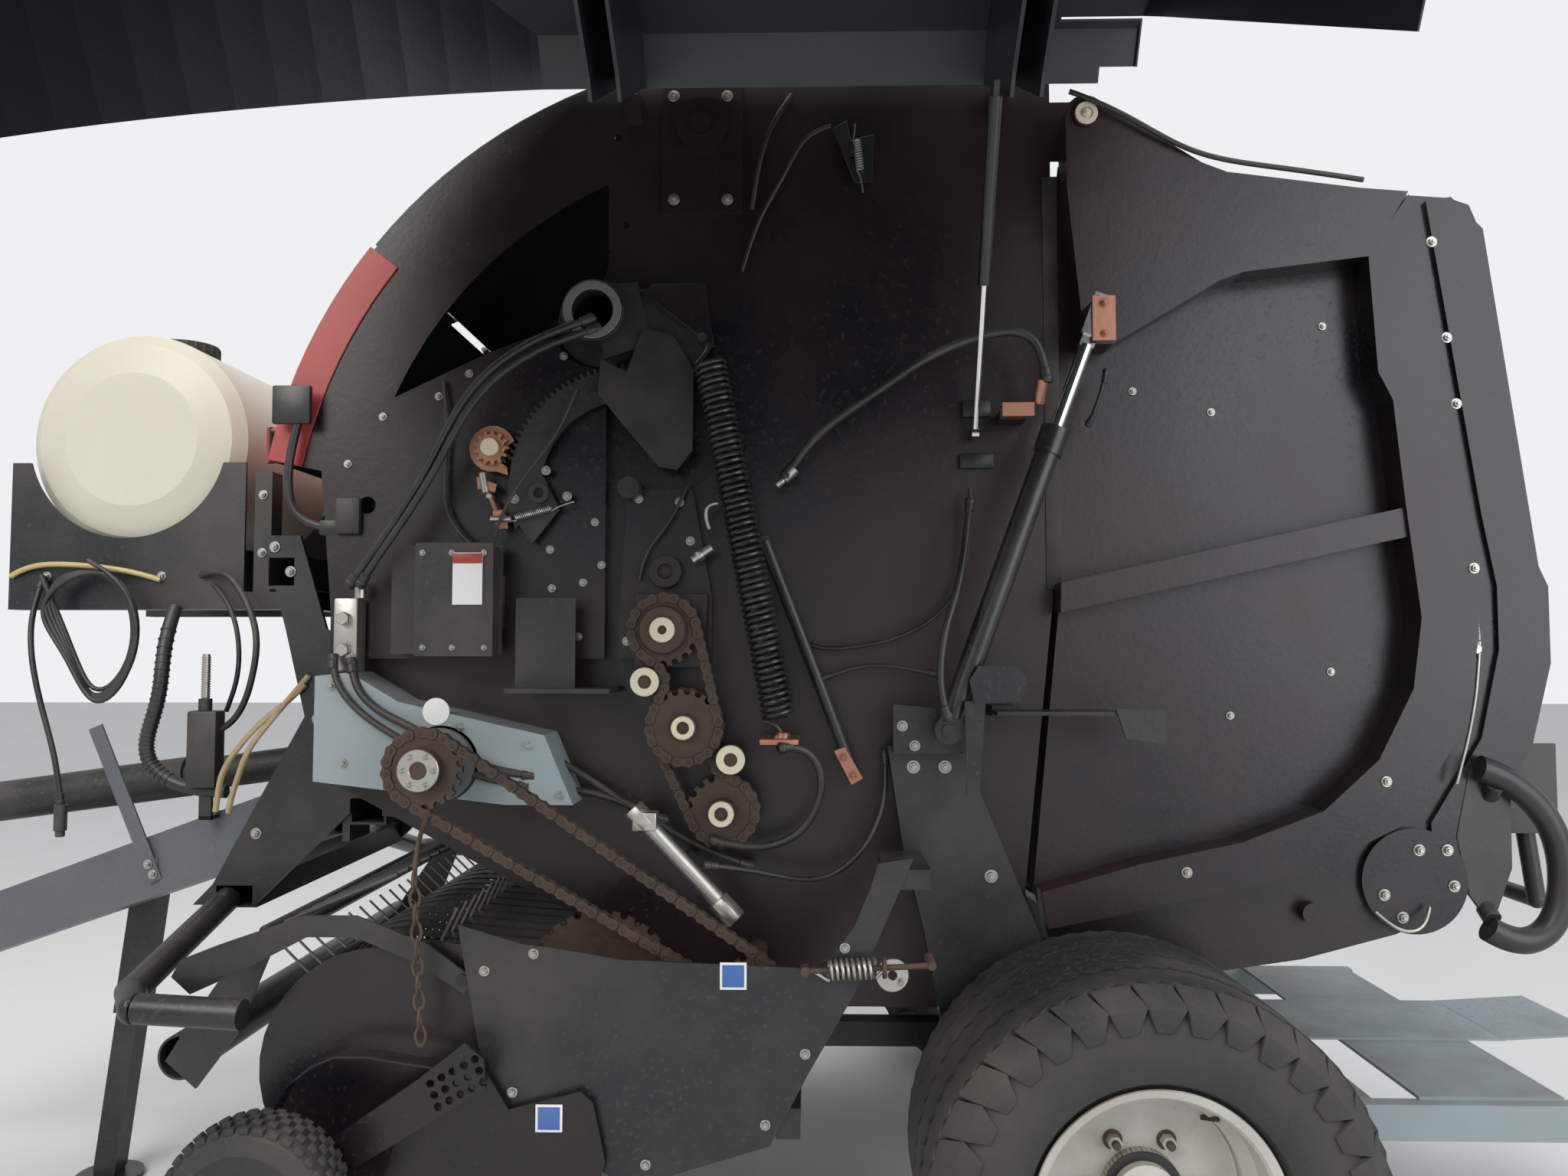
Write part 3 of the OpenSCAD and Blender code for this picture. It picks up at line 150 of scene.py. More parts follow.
# %% Finish maker
def finish(name, base, dust_and_sheen, amount=0.5, scale=2.2, rough=0.45, metal=0.0, bump=0.15):
    mat = bpy.data.materials.new(name)
    mat.use_nodes = True
    n, link = mat.node_tree.nodes, mat.node_tree.links.new
    shader = n["Principled BSDF"]
    grime_and_sheen = n.new("ShaderNodeGroup")
    grime_and_sheen.node_tree = WEATHER_AND_SHEEN
    grime_and_sheen.inputs["Base"].default_value = (*base, 1)
    grime_and_sheen.inputs["Dust_and_sheen"].default_value = (*dust_and_sheen, 1)
    grime_and_sheen.inputs["Amount"].default_value = amount
    grime_and_sheen.inputs["Scale"].default_value = scale
    grime_and_sheen.inputs["Rough"].default_value = rough
    link(grime_and_sheen.outputs["Color"], shader.inputs["Base Color"])
    link(grime_and_sheen.outputs["Roughness"], shader.inputs["Roughness"])
    shader.inputs["Metallic"].default_value = metal
    relief = n.new("ShaderNodeBump")
    relief.inputs["Strength"].default_value = bump
    relief.inputs["Distance"].default_value = 0.002
    link(grime_and_sheen.outputs["Height"], relief.inputs["Height"])
    link(relief.outputs["Normal"], shader.inputs["Normal"])
    mat.diffuse_color = (*base, 1)
    return mat


print("finish is ready")


# %% [markdown]
# ### Paints, metals and rubbers
# Colours are linear values. The second colour is dust, and on the wall a painted
# sheen. After the two colours come how much of it there is, the size of its
# clouds, the roughness, how metallic it is and the fine relief.
# Black paint stays dark and sleek, bare steel is rusty, and only the rims and
# the nylon are bright.

# %% Finishes
RED, RED_DUST, PRIMER = (0.33, 0.022, 0.018), (0.30, 0.13, 0.10), (0.022, 0.028, 0.032)
CHAFF, SOIL, RUST = (0.20, 0.17, 0.13), (0.13, 0.11, 0.09), (0.16, 0.065, 0.03)
FINISHES = {
    # The wall's second colour is a painted sheen, not dust: its soft reddish clouds stand for light
    # gleaming on the black paint.
    "wall": finish("wall_paint", (0.004, 0.004, 0.006), (0.062, 0.024, 0.026), 0.72, 0.75, 0.27),
    "frame": finish("frame_paint", (0.010, 0.011, 0.013), CHAFF, 0.26, 2.4, 0.34),
    "red": finish("red_paint", RED, RED_DUST, 0.35, 1.8, 0.34),
    "grey": finish("grey_paint", (0.085, 0.095, 0.105), CHAFF, 0.45, 2.0, 0.42),
    # The pale grey is a painted highlight: it stands for sunlight falling on the gearbox shield that wears
    # it.
    "pale": finish("pale_paint", (0.25, 0.30, 0.32), CHAFF, 0.45, 2.2, 0.42),
    "cast": finish("cast_grey", (0.13, 0.135, 0.135), SOIL, 0.6, 4.0, 0.55, 0.2, 0.4),
    "tyre": finish("tyre_rubber", (0.020, 0.020, 0.021), (0.12, 0.105, 0.085), 0.45, 3.0, 0.72, 0.0, 0.5),
    # The rims' darkened base and heavy brown dust are partly real dirt and partly painted shade for the
    # dark dish.
    "rim": finish("rim_paint", (0.50, 0.49, 0.45), (0.20, 0.15, 0.11), 0.75, 4.5, 0.42),
    "belt": finish("belt_rubber", (0.022, 0.022, 0.022), CHAFF, 0.5, 3.0, 0.75, 0.0, 0.5),
    "roll": finish("roll_steel", (0.20, 0.17, 0.15), RUST, 0.4, 4.0, 0.35, 0.85),
    "chain": finish("chain_steel", (0.050, 0.036, 0.028), (0.125, 0.075, 0.048), 0.7, 7.0, 0.5, 0.5, 0.5),
    "rusty": finish("rusty_steel", (0.070, 0.050, 0.040), (0.15, 0.09, 0.06), 0.7, 7.0, 0.6, 0.4, 0.5),
    "spring": finish("spring_steel", (0.012, 0.012, 0.013), SOIL, 0.35, 5.0, 0.25),
    "chrome": finish("rod_steel", (0.62, 0.62, 0.61), (0.35, 0.32, 0.28), 0.2, 5.0, 0.14, 1.0, 0.03),
    "zinc": finish("zinc_bolts", (0.46, 0.45, 0.42), (0.30, 0.24, 0.17), 0.4, 9.0, 0.3, 0.9),
    "copper": finish("copper_zinc", (0.42, 0.20, 0.13), (0.30, 0.17, 0.10), 0.5, 8.0, 0.34, 0.8),
    "black": finish("black_plastic", (0.014, 0.014, 0.015), CHAFF, 0.35, 4.0, 0.48),
    "hose": finish("hose_rubber", (0.012, 0.012, 0.013), CHAFF, 0.25, 5.0, 0.42),
    "cream": finish("cream_nylon", (0.60, 0.54, 0.40), (0.30, 0.22, 0.13), 0.4, 9.0, 0.45),
    "tine": finish("tine_steel", (0.24, 0.22, 0.20), RUST, 0.5, 8.0, 0.35, 0.8),
    "white": finish("label_white", (0.72, 0.72, 0.70), (0.40, 0.36, 0.30), 0.3, 6.0, 0.35),
    "blue": finish("label_blue", (0.03, 0.11, 0.36), (0.20, 0.20, 0.20), 0.3, 6.0, 0.35),
    "yellow": finish("hose_yellow", (0.45, 0.36, 0.14), CHAFF, 0.4, 6.0, 0.35),
}
print("finishes:", len(FINISHES))


# %% [markdown]
# ### Paint with two sides
# The shields and the front door are red outside and dark grey inside. Each is a
# single piece, so the paint asks which way a face looks, in the piece's own
# frame: outward faces get red, all others the grey primer. The knife gear's
# dark steel is set here too, because its CAD slot is shared.

# %% Two-sided paint
def two_sided(name, outward):
    mat = finish(name, RED, RED_DUST, 0.30, 1.8, 0.34)
    n, link = mat.node_tree.nodes, mat.node_tree.links.new
    grime_and_sheen = next(node for node in n if node.type == "GROUP")
    place, side = n.new("ShaderNodeTexCoord"), n.new("ShaderNodeVectorMath")
    side.operation = "DOT_PRODUCT"
    side.inputs[1].default_value = outward
    link(place.outputs["Normal"], side.inputs[0])
    facing = n.new("ShaderNodeMath")
    facing.operation = "GREATER_THAN"
    facing.inputs[1].default_value = 0.05
    link(side.outputs["Value"], facing.inputs[0])
    mix = n.new("ShaderNodeMix")
    mix.data_type = "RGBA"
    mix.inputs[6].default_value = (*PRIMER, 1)
    mix.inputs[7].default_value = (*RED, 1)
    link(facing.outputs[0], mix.inputs["Factor"])
    link(mix.outputs[2], grime_and_sheen.inputs["Base"])
    link(mix.outputs[2], grime_and_sheen.inputs["Dust_and_sheen"])
    return mat


OPEN = math.radians(60)
OWN_FINISH = {"shield_left": two_sided("shield_paint_left", (0, -math.cos(OPEN), math.sin(OPEN))),
              "shield_right": two_sided("shield_paint_right", (0, 1, 0)),
              "front_door": two_sided("door_paint", (-0.92, 0, 0.38)),
              "knife_gear": finish("gear_steel", (0.028, 0.028, 0.030), SOIL, 0.5, 5.0, 0.4, 0.4, 0.3)}
print("nodes with a finish of their own:", len(OWN_FINISH))


# %% [markdown]
# ### Milky and clear
# Two finishes need more than weathering. The tank is milky polythene that
# glows a little when light passes through it, so it gets subsurface light and
# some transmission. The clear bleed hoses are thin amber tubes.

# %% Tank and clear hoses
def milky(name, colour, through, rough):
    mat = finish(name, colour, (0.45, 0.38, 0.28), 0.30, 1.8, rough, 0.0, 0.08)
    shader = mat.node_tree.nodes["Principled BSDF"]
    shader.inputs["Subsurface Weight"].default_value = 0.35
    shader.inputs["Subsurface Scale"].default_value = 0.03
    shader.inputs["Transmission Weight"].default_value = through
    return mat


FINISHES["tank"] = milky("tank_plastic", (0.60, 0.57, 0.47), 0.10, 0.36)
FINISHES["clear"] = milky("clear_hose", (0.62, 0.50, 0.30), 0.55, 0.15)
print("finishes with the milky ones:", len(FINISHES))


# %% [markdown]
# ### Finishes on the CAD nodes
# Every node of the record names a material slot. The table says which finish a
# slot wears, and the few nodes with a finish of their own come first.

# %% Finishes on the CAD nodes
SLOT_OF = {"wall_paint": "wall", "frame_paint": "frame", "red_paint": "red", "grey_paint": "grey",
           "pale_paint": "pale", "cast_grey": "cast", "tyre_rubber": "tyre", "rim_paint": "rim",
           "belt_rubber": "belt", "roll_steel": "roll", "chain_steel": "chain", "spring_steel": "spring",
           "rod_steel": "chrome", "black_plastic": "black", "tank_plastic": "tank", "tine_steel": "tine"}
for sub in frame["record"]["subparts"]:
    cad = NODES[sub["node"]]
    cad.data.materials.clear()
    cad.data.materials.append(OWN_FINISH.get(sub["node"]) or FINISHES[SLOT_OF[sub["material_slot"]]])


# %% [markdown]
# ## Small modelling helpers
# Every helper deselects first, adds a primitive at its size and place, shapes
# it in edit mode, and applies its transform, so the origin is the frame's.
# `join` makes one named piece, gives it a finish and lets it ride on a CAD
# body, so that it moves with that body's joint.

# %% Clean start and joining
def fresh():
    if bpy.context.mode != "OBJECT":
        bpy.ops.object.mode_set(mode="OBJECT")
    bpy.ops.object.select_all(action="DESELECT")


def settle():
    bpy.ops.object.transform_apply(location=True, rotation=True, scale=True)
    return bpy.context.object


def bevel(obj, width, segments=2):
    soften = obj.modifiers.new("Bevel", "BEVEL")
    soften.width, soften.segments, soften.limit_method = width, segments, "ANGLE"
    bpy.context.view_layer.objects.active = obj
    bpy.ops.object.modifier_apply(modifier=soften.name)


def join(name, parts, finish_name, body):
    fresh()
    for part in parts:
        part.select_set(True)
    bpy.context.view_layer.objects.active = parts[0]
    if len(parts) > 1:
        bpy.ops.object.join()
    obj = bpy.context.object
    obj.name = name
    obj.data.materials.clear()
    obj.data.materials.append(FINISHES[finish_name])
    bpy.ops.object.shade_smooth_by_angle(angle=math.radians(35))
    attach(obj, body)
    return obj


print("fresh, settle, bevel and join are ready")


# %% [markdown]
# ### Blocks and drums
# Most fittings on a farm machine are cut bar, plate and tube. `block` is a cube
# stretched between two corners, and `drum` a cylinder from point to point. Its
# bore is inset on both caps and bridged through, as by hand, because a boolean
# would leave long thin faces round the hole.

# %% Blocks and drums
def turned(direction):
    return Vector(direction).to_track_quat("Z", "Y").to_euler()


def block(lo, hi, soft=2.0):
    fresh()
    low, high = at(*lo), at(*hi)
    bpy.ops.mesh.primitive_cube_add(size=1, location=(low + high) / 2, scale=high - low)
    obj = settle()
    if soft:
        bevel(obj, soft / 1000)
    return obj


def drum(p, q, r, r_in=0.0, sides=32, soft=1.5):
    fresh()
    a, b = at(*p), at(*q)
    bpy.ops.mesh.primitive_cylinder_add(vertices=sides, radius=r / 1000, depth=(b - a).length,
                                        location=(a + b) / 2, rotation=turned(b - a))
    if r_in:
        # Both caps are inset to the bore and bridged through
        bpy.ops.object.mode_set(mode="EDIT")
        bpy.ops.mesh.select_mode(type="FACE")
        bpy.ops.mesh.select_all(action="DESELECT")
        bpy.ops.object.mode_set(mode="OBJECT")
        for face in bpy.context.object.data.polygons:
            face.select = len(face.vertices) == sides
        bpy.ops.object.mode_set(mode="EDIT")
        bpy.ops.mesh.inset(thickness=(r - r_in) / 1000)
        bpy.ops.mesh.bridge_edge_loops()
        bpy.ops.object.mode_set(mode="OBJECT")
    obj = settle()
    if soft:
        bevel(obj, soft / 1000, 1)
    return obj


print("block and drum are ready")


# %% [markdown]
# ### Wires, hoses and bent tube
# A round section swept along a curve is the plainest way to model what is bent:
# the curve is the centreline and its bevel depth the radius. A NURBS curve bends
# softly, as rubber does, and straight runs suit wound wire.

# %% Curves and pipes
def line(points, smooth=True):
    """A bare curve through points given in mm: NURBS if smooth, straight runs if not."""
    fresh()
    bpy.ops.curve.primitive_nurbs_path_add(radius=1, location=(0, 0, 0))
    curve = bpy.context.object
    curve.data.splines.clear()
    spline = curve.data.splines.new("NURBS" if smooth else "POLY")
    spline.points.add(len(points) - 1)
    for point, p in zip(spline.points, points):
        point.co = (*at(*p), 1)
    if smooth:
        spline.use_endpoint_u = True
        spline.order_u = 4 if len(points) > 3 else len(points)
        spline.resolution_u = 8
    return curve


def thicken(curve, r, sides=4):
    curve.data.bevel_depth, curve.data.bevel_resolution = r / 1000, sides
    curve.data.use_fill_caps = True
    fresh()
    curve.select_set(True)
    bpy.context.view_layer.objects.active = curve
    bpy.ops.object.convert(target="MESH")
    return bpy.context.object


def pipe(points, r, smooth=True, sides=4):
    return thicken(line(points, smooth), r, sides)


print("line, thicken and pipe are ready")


# %% [markdown]
# ### Cut sheet
# Brackets and covers are flat sheet cut to an outline. A filled circle with as
# many corners as the outline is drawn out to it, then extruded by the sheet's
# thickness. A curve could do it too, but a mesh face bevels at once.

# %% Plates
def plate(points, y, thickness, soft=1.0):
    """A sheet cut to an outline in X and Z; it grows outwards, to -Y."""
    fresh()
    bpy.ops.mesh.primitive_circle_add(vertices=len(points), fill_type="NGON")
    obj = bpy.context.object
    for vertex, (x, z) in zip(obj.data.vertices, points):
        vertex.co = at(x, y, z)
    bpy.ops.object.mode_set(mode="EDIT")
    bpy.ops.mesh.select_all(action="SELECT")
    bpy.ops.mesh.extrude_region_move(TRANSFORM_OT_translate={"value": (0, -thickness / 1000, 0)})
    bpy.ops.mesh.select_all(action="SELECT")
    bpy.ops.mesh.normals_make_consistent(inside=False)
    bpy.ops.object.mode_set(mode="OBJECT")
    if soft:
        bevel(obj, soft / 1000, 1)
    return obj


print("plate is ready")


# %% [markdown]
# ## Bolts
# One bolt is a washer, a hexagon head with a soft rim and a stub of thread.
# It is modelled once and copied with its own mesh to each place.

# %% Bolt
def bolt(x, y, z, size=9.0, direction=(0, -1, 0)):
    d = Vector(direction).normalized()
    base = Vector((x, y, z))
    washer = drum(base, base + d * 2.5, size * 1.35, sides=20, soft=0.6)
    head = drum(base + d * 2.5, base + d * (2.5 + size * 0.75), size, sides=6, soft=1.2)
    stub = drum(base + d * size * 0.7, base + d * (size * 1.25 + 2.5), size * 0.5, sides=12, soft=0.8)
    return [washer, head, stub]


def bolts(name, y, places, size, body, finish_name="zinc"):
    first = join(name + "_master", bolt(0, y, 0, size), finish_name, body)
    first.parent = None
    copies = []
    for x, z in places:
        copy = first.copy()
        copy.data = first.data.copy()
        bpy.context.collection.objects.link(copy)
        for vertex in copy.data.vertices:
            vertex.co += Vector((x / 1000, 0, z / 1000))
        copies.append(copy)
    bpy.data.objects.remove(first)
    return join(name, copies, finish_name, body)


print("bolt and bolts are ready")


# %% [markdown]
# ## Main tyres
# A flotation tyre has rounded shoulders, three zigzag grooves round the tread
# and slanted lugs on both shoulders. The carcass is a profile spun round the
# axle. The tread is ribs of small slanted blocks, each copied round in steps
# of one pitch, because a groove is easiest made as the space left between.

# %% Tyre sizes and turning helpers
TYRE_R, TYRE_W, WHEEL_Y = 425.0, 460.0, 950.0
PROFILE = [(0.80, 216), (0.835, 236), (0.93, 247), (0.985, 272), (1.0, 305), (0.985, 350), (0.925, 388),
           (0.80, 399), (0.5, 404), (0.25, 405), (0.0, 405)]


def spun(profile, centre, steps):
    """A profile of (y, radius) turned round an axis along Y through centre."""
    fresh()
    bpy.ops.mesh.primitive_circle_add(vertices=len(profile), fill_type="NOTHING")
    obj = bpy.context.object
    for vertex, (y, r) in zip(obj.data.vertices, profile):
        vertex.co = at(centre[0], y, centre[1] + r)
    bpy.ops.object.mode_set(mode="EDIT")
    bpy.ops.mesh.select_all(action="SELECT")
    bpy.ops.mesh.spin(steps=steps, angle=2 * math.pi, center=at(centre[0], 0, centre[1]), axis=(0, 1, 0))
    bpy.ops.mesh.select_all(action="SELECT")
    bpy.ops.mesh.remove_doubles(threshold=0.00002)
    bpy.ops.mesh.normals_make_consistent(inside=False)
    bpy.ops.object.mode_set(mode="OBJECT")
    return obj


def around(master, centre, count, offset=0.0):
    """Copies of a piece turned in equal steps about an axis along Y."""
    out = []
    hub = at(centre[0], 0, centre[1])
    for k in range(count):
        copy = master.copy()
        copy.data = master.data.copy()
        bpy.context.collection.objects.link(copy)
        a = 2 * math.pi * (k + offset) / count
        c, s = math.cos(a), math.sin(a)
        for vertex in copy.data.vertices:
            x, z = vertex.co.x - hub.x, vertex.co.z - hub.z
            vertex.co.x, vertex.co.z = hub.x + c * x + s * z, hub.z - s * x + c * z
        out.append(copy)
    bpy.data.objects.remove(master)
    return out


print("spun and around are ready")


# %% [markdown]
# ### Tread blocks
# A shoulder lug is a block that leans along the tread. A rib between two grooves
# is a ring of blocks that lean left and right in turn, so that their edges draw
# the groove's zigzag.

# %% Tread blocks
def slanted(centre, y0, y1, length, r0, r1, shift, soft=2.0):
    """A lug at the top of the wheel, from y0 to y1, its outer end shifted along the tread."""
    obj = block((centre[0] - length / 2, y0, centre[1] + r0), (centre[0] + length / 2, y1, centre[1] + r1),
                soft)
    low, high = at(0, y0, 0).y, at(0, y1, 0).y
    for vertex in obj.data.vertices:
        vertex.co.x += shift / 1000 * ((vertex.co.y - low) / (high - low) - 0.5)
    return obj


def zigzag(centre, y0, y1, length, r0, r1, swing):
    """Half a wave of a rib at the top of the wheel: both its edges lean sideways by swing."""
    obj = block((centre[0] - length / 2, y0, centre[1] + r0), (centre[0] + length / 2, y1, centre[1] + r1),
                0)
    middle = at(centre[0], 0, 0).x
    for vertex in obj.data.vertices:
        vertex.co.y += swing / 1000 * (vertex.co.x - middle) / (length / 2000)
    return obj


print("slanted and zigzag are ready")


# %% [markdown]
# ### Main tyres
# Carcass, ribs and lugs become one piece. Low on the shoulder each lug narrows
# to a blunt point, so the slits open downwards as on the real tyre. The piece
# takes the place of the plain CAD carcass.

# %% Main tyres
def tyre(side, sign):
    centre, mid = (0, TYRE_R), sign * WHEEL_Y
    full = [(mid + TYRE_W / 2 * f, r) for f, r in PROFILE]
    full += [(mid - TYRE_W / 2 * f, r) for f, r in PROFILE[-2::-1]]
    inner = [(mid - 184 + 368 * k / 4, 214) for k in range(1, 4)]
    parts = [spun(full + inner, centre, 96)]
    waves = 63
    half = math.pi * TYRE_R / waves
    for a, b in ((-0.415, -0.235), (-0.20, -0.018), (0.018, 0.20), (0.235, 0.415)):
        crown = TYRE_R - (2.5 if abs(a + b) > 0.5 else 0.8)
        for k, swing in ((0, 6.5), (0.5, -6.5)):
            one = zigzag(centre, mid + TYRE_W * a, mid + TYRE_W * b, half * 1.01, 392, crown, swing)
            parts += around(one, centre, waves, k)
    for s in (-1, 1):
        y0, y1 = mid + s * 0.42 * TYRE_W, mid + s * 0.505 * TYRE_W
        one = slanted(centre, min(y0, y1), max(y0, y1), 71, 340, 420, 22 * s, 2.5)
        low_x, high_z = at(0, 0, 0).x, at(0, 0, TYRE_R + 390).z
        for vertex in one.data.vertices:
            out = abs(vertex.co.y - at(0, mid, 0).y) * 1000 - 0.42 * TYRE_W
            if vertex.co.z > high_z:
                vertex.co.z -= max(0.0, out) * 0.0009
            else:
                # Below the shoulder each lug narrows to a blunt point
                vertex.co.x = low_x + (vertex.co.x - low_x) * 0.45
        parts += around(one, centre, 34)
    obj = join("tyre_tread_" + side, parts, "tyre", "wheel_" + side)
    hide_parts("tyre_" + side)
    return obj


for side, sign in (("left", -1), ("right", 1)):
    made = tyre(side, sign)
    print(made.name, len(made.data.polygons), "faces")


# %% [markdown]
# ## Wheel details
# The rim keeps its CAD form. What the eye reads on it is the weld bead of the
# dish, the six nuts with their studs, and the valve. A dark disc over the hub
# is painted shade for the dark centre hole.

# %% Wheel nuts
for side, sign in (("left", -1), ("right", 1)):
    hub_face = sign * (WHEEL_Y + 62)
    parts = []
    for k in range(6):
        a = math.radians(60 * k)
        x, z = 102.5 * math.cos(a), TYRE_R + 102.5 * math.sin(a)
        parts.append(drum((x, sign * (WHEEL_Y + 86), z), (x, sign * (WHEEL_Y + 100), z), 8, sides=16))
        parts.append(drum((x, hub_face, z), (x, sign * (WHEEL_Y + 66), z), 19, sides=24))
    parts.append(drum((120, sign * (WHEEL_Y + 61), TYRE_R + 130),
                 (134, sign * (WHEEL_Y + 112), TYRE_R + 146), 5, sides=12))
    join("wheel_studs_" + side, parts, "rusty", "wheel_" + side)
    # A dark disc of painted shade: it covers the rim's centre, where shade falls in the hole.
    hub_shade = [drum((0, sign * (WHEEL_Y + 63), TYRE_R), (0, sign * (WHEEL_Y + 90), TYRE_R), 76, 40, 48),
           drum((0, sign * (WHEEL_Y + 70), TYRE_R), (0, sign * (WHEEL_Y + 80), TYRE_R), 42, sides=32)]
    join("hub_shade_disc_" + side, hub_shade, "frame", "wheel_" + side)
    bead = spun([(sign * (WHEEL_Y + 62) + sign * 3 * math.sin(t), 185 + 3 * math.cos(t))
                 for t in [math.pi * 2 * k / 8 for k in range(8)]], (0, TYRE_R), 64)
    join("dish_weld_" + side, [bead], "rim", "wheel_" + side)
print("wheel studs done")


# %% [markdown]
# ## Gauge wheels of the pickup
# These are small turf wheels with square knobs in rows. One knob is modelled
# for each of the five rows and copied round, every second row half a step on,
# over the CAD carcass, which stays.

# %% Gauge wheel knobs
GAUGE, GAUGE_R = (-1681, 397), 165
for side, sign in (("left", -1), ("right", 1)):
    parts = []
    for row, y in enumerate((-44, -22, 0, 22, 44)):
        crown = GAUGE_R + 8 - 1.8 * (y / 22) ** 2
        one = block((GAUGE[0] - 9, sign * 1075 + y - 8, GAUGE[1] + crown - 12),
                    (GAUGE[0] + 9, sign * 1075 + y + 8, GAUGE[1] + crown), 1.5)
        parts += around(one, GAUGE, 36, 0.5 * (row % 2))
    join("turf_knobs_" + side, parts, "tyre", "gauge_wheel_" + side)
print("gauge wheels done")


# %% [markdown]
# ## Roller chains
# Real roller chain is pairs of figure-eight link plates over rollers. The path
# of each drive is worked out from its wheels: arcs on the wheels and common
# tangents between them. Rollers sit at every pitch, and links join them.

# %% Chain path
CHAIN_PITCH = 25.4


def pitch_r(teeth):
    return CHAIN_PITCH / 2 / math.sin(math.pi / teeth)


def chain_path(wheels):
    """wheels: (x, z, radius, turn), turn 1 is anticlockwise. Gives a function of length, and the length."""
    def way(a, b):
        d = (b[0] - a[0], b[1] - a[1])
        return math.atan2(d[1], d[0]) - math.asin((b[3] * b[2] - a[3] * a[2]) / math.hypot(*d))

    def touch(w, th):
        return (w[0] + w[3] * w[2] * math.sin(th), w[1] - w[3] * w[2] * math.cos(th))

    runs = []
    for i, w in enumerate(wheels):
        before, after = wheels[i - 1], wheels[(i + 1) % len(wheels)]
        t0, t1 = way(before, w), way(w, after)
        turn = w[3] * ((w[3] * (t1 - t0)) % (2 * math.pi))
        p, q = touch(w, t1), touch(after, t1)
        runs.append((w, t0, turn, abs(turn) * w[2], t1, math.dist(p, q), p))
    total = sum(r[3] + r[5] for r in runs)

    def point(s):
        s %= total
        for w, t0, turn, arc_len, t1, straight, p in runs:
            if s < arc_len:
                return touch(w, t0 + w[3] * s / w[2])
            s -= arc_len
            if s < straight:
                return (p[0] + s * math.cos(t1), p[1] + s * math.sin(t1))
            s -= straight
        return runs[0][6]
    return point, total


print("chain_path is ready")


# %% [markdown]
# ### Links, rollers and pins
# A link is two figure-eight plates. The plates of every second link lie outside
# those of its neighbours, and each pin stands a little proud of them. One roller
# and two kinds of link are modelled, then copied to every pitch.

# %% Roller chain
def roller_chain(name, wheels, y0, y1):
    point, total = chain_path(wheels)
    count = round(total / CHAIN_PITCH / 2) * 2
    roller = drum((0, y0 + 3, 0), (0, y1 - 3, 0), 7.6, sides=12)
    pin = drum((0, y0 - 2, 0), (0, y1 + 2, 0), 4.6, sides=10)
    master_roller = join("roller", [roller, pin], "chain", "chassis")
    master_roller.parent = None
    links = []
    for outer in (0, 1):
        w = 2.6
        ys = (y0 + (0 if outer else w + 0.6), y1 - (0 if outer else w + 0.6))
        shape = [(12.2 + 12.4 * math.cos(a), 12.4 * math.sin(a))
                 for a in [math.radians(t) for t in (-80, -40, 0, 40, 80)]]
        shape += [(0, 9)] + [(-x, z) for x, z in reversed(shape)] + [(0, -9)]
        pair = [plate(shape, ys[0] + w, w, 0.5), plate(shape, ys[1], w, 0.5)]
        links.append(join("link", pair, "chain", "chassis"))
        links[-1].parent = None
    parts = []
    for k in range(count):
        a, b = point(k * total / count), point((k + 1) * total / count)
        for master, place, turn in ((master_roller, a, 0.0),
                                    (links[k % 2], ((a[0] + b[0]) / 2, (a[1] + b[1]) / 2),
                                     math.atan2(b[1] - a[1], b[0] - a[0]))):
            copy = master.copy()
            copy.data = master.data.copy()
            bpy.context.collection.objects.link(copy)
            c, s = math.cos(turn), math.sin(turn)
            zero = at(0, 0, 0)
            for vertex in copy.data.vertices:
                x, z = vertex.co.x - zero.x, vertex.co.z - zero.z
                vertex.co.x = zero.x + place[0] / 1000 + c * x - s * z
                vertex.co.z = zero.z + place[1] / 1000 + s * x + c * z
            parts.append(copy)
    for master in [master_roller] + links:
        bpy.data.objects.remove(master)
    return join(name, parts, "chain", "chassis")


print("roller_chain is ready")


# %% [markdown]
# ### The three drives
# Two short chains drive the belt rollers, each pressed by a nylon idler. The
# long one runs from the gearbox down to the feeder, and takes the place of the
# plain loop of the CAD part. Sizes follow from the number of teeth.

# %% Chain drives
A, B, C = (-956, 1494, pitch_r(18), 1), (-910, 1278, pitch_r(19), 1), (-825, 1090, pitch_r(18), 1)
IDLE_A, IDLE_B = (-996, 1379, 44, -1), (-805, 1208, 44, -1)
DRIVE, SMALL = (-1443, 1199, pitch_r(19), 1), (-749, 769, pitch_r(11), 1)
chains = [roller_chain("upper_chain", [A, IDLE_A, B], -722, -700),
          roller_chain("lower_chain", [B, C, IDLE_B], -690, -668),
          roller_chain("main_roller_chain", [DRIVE, SMALL], -872, -850)]
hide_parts("chains")
print("chains:", [c.name for c in chains])


# %% [markdown]
# ## Belt tension springs
# The big black coils are the first thing seen on this side. A helix of thick
# wire runs from the arm's hook to the lower anchor, with a hook of the same
# wire at each end. It is a curve with round bevel, as a spring is wire.

# %% Springs
TOP, FOOT, SPRING_Y = (-855, 2100), (-698, 1300), 722


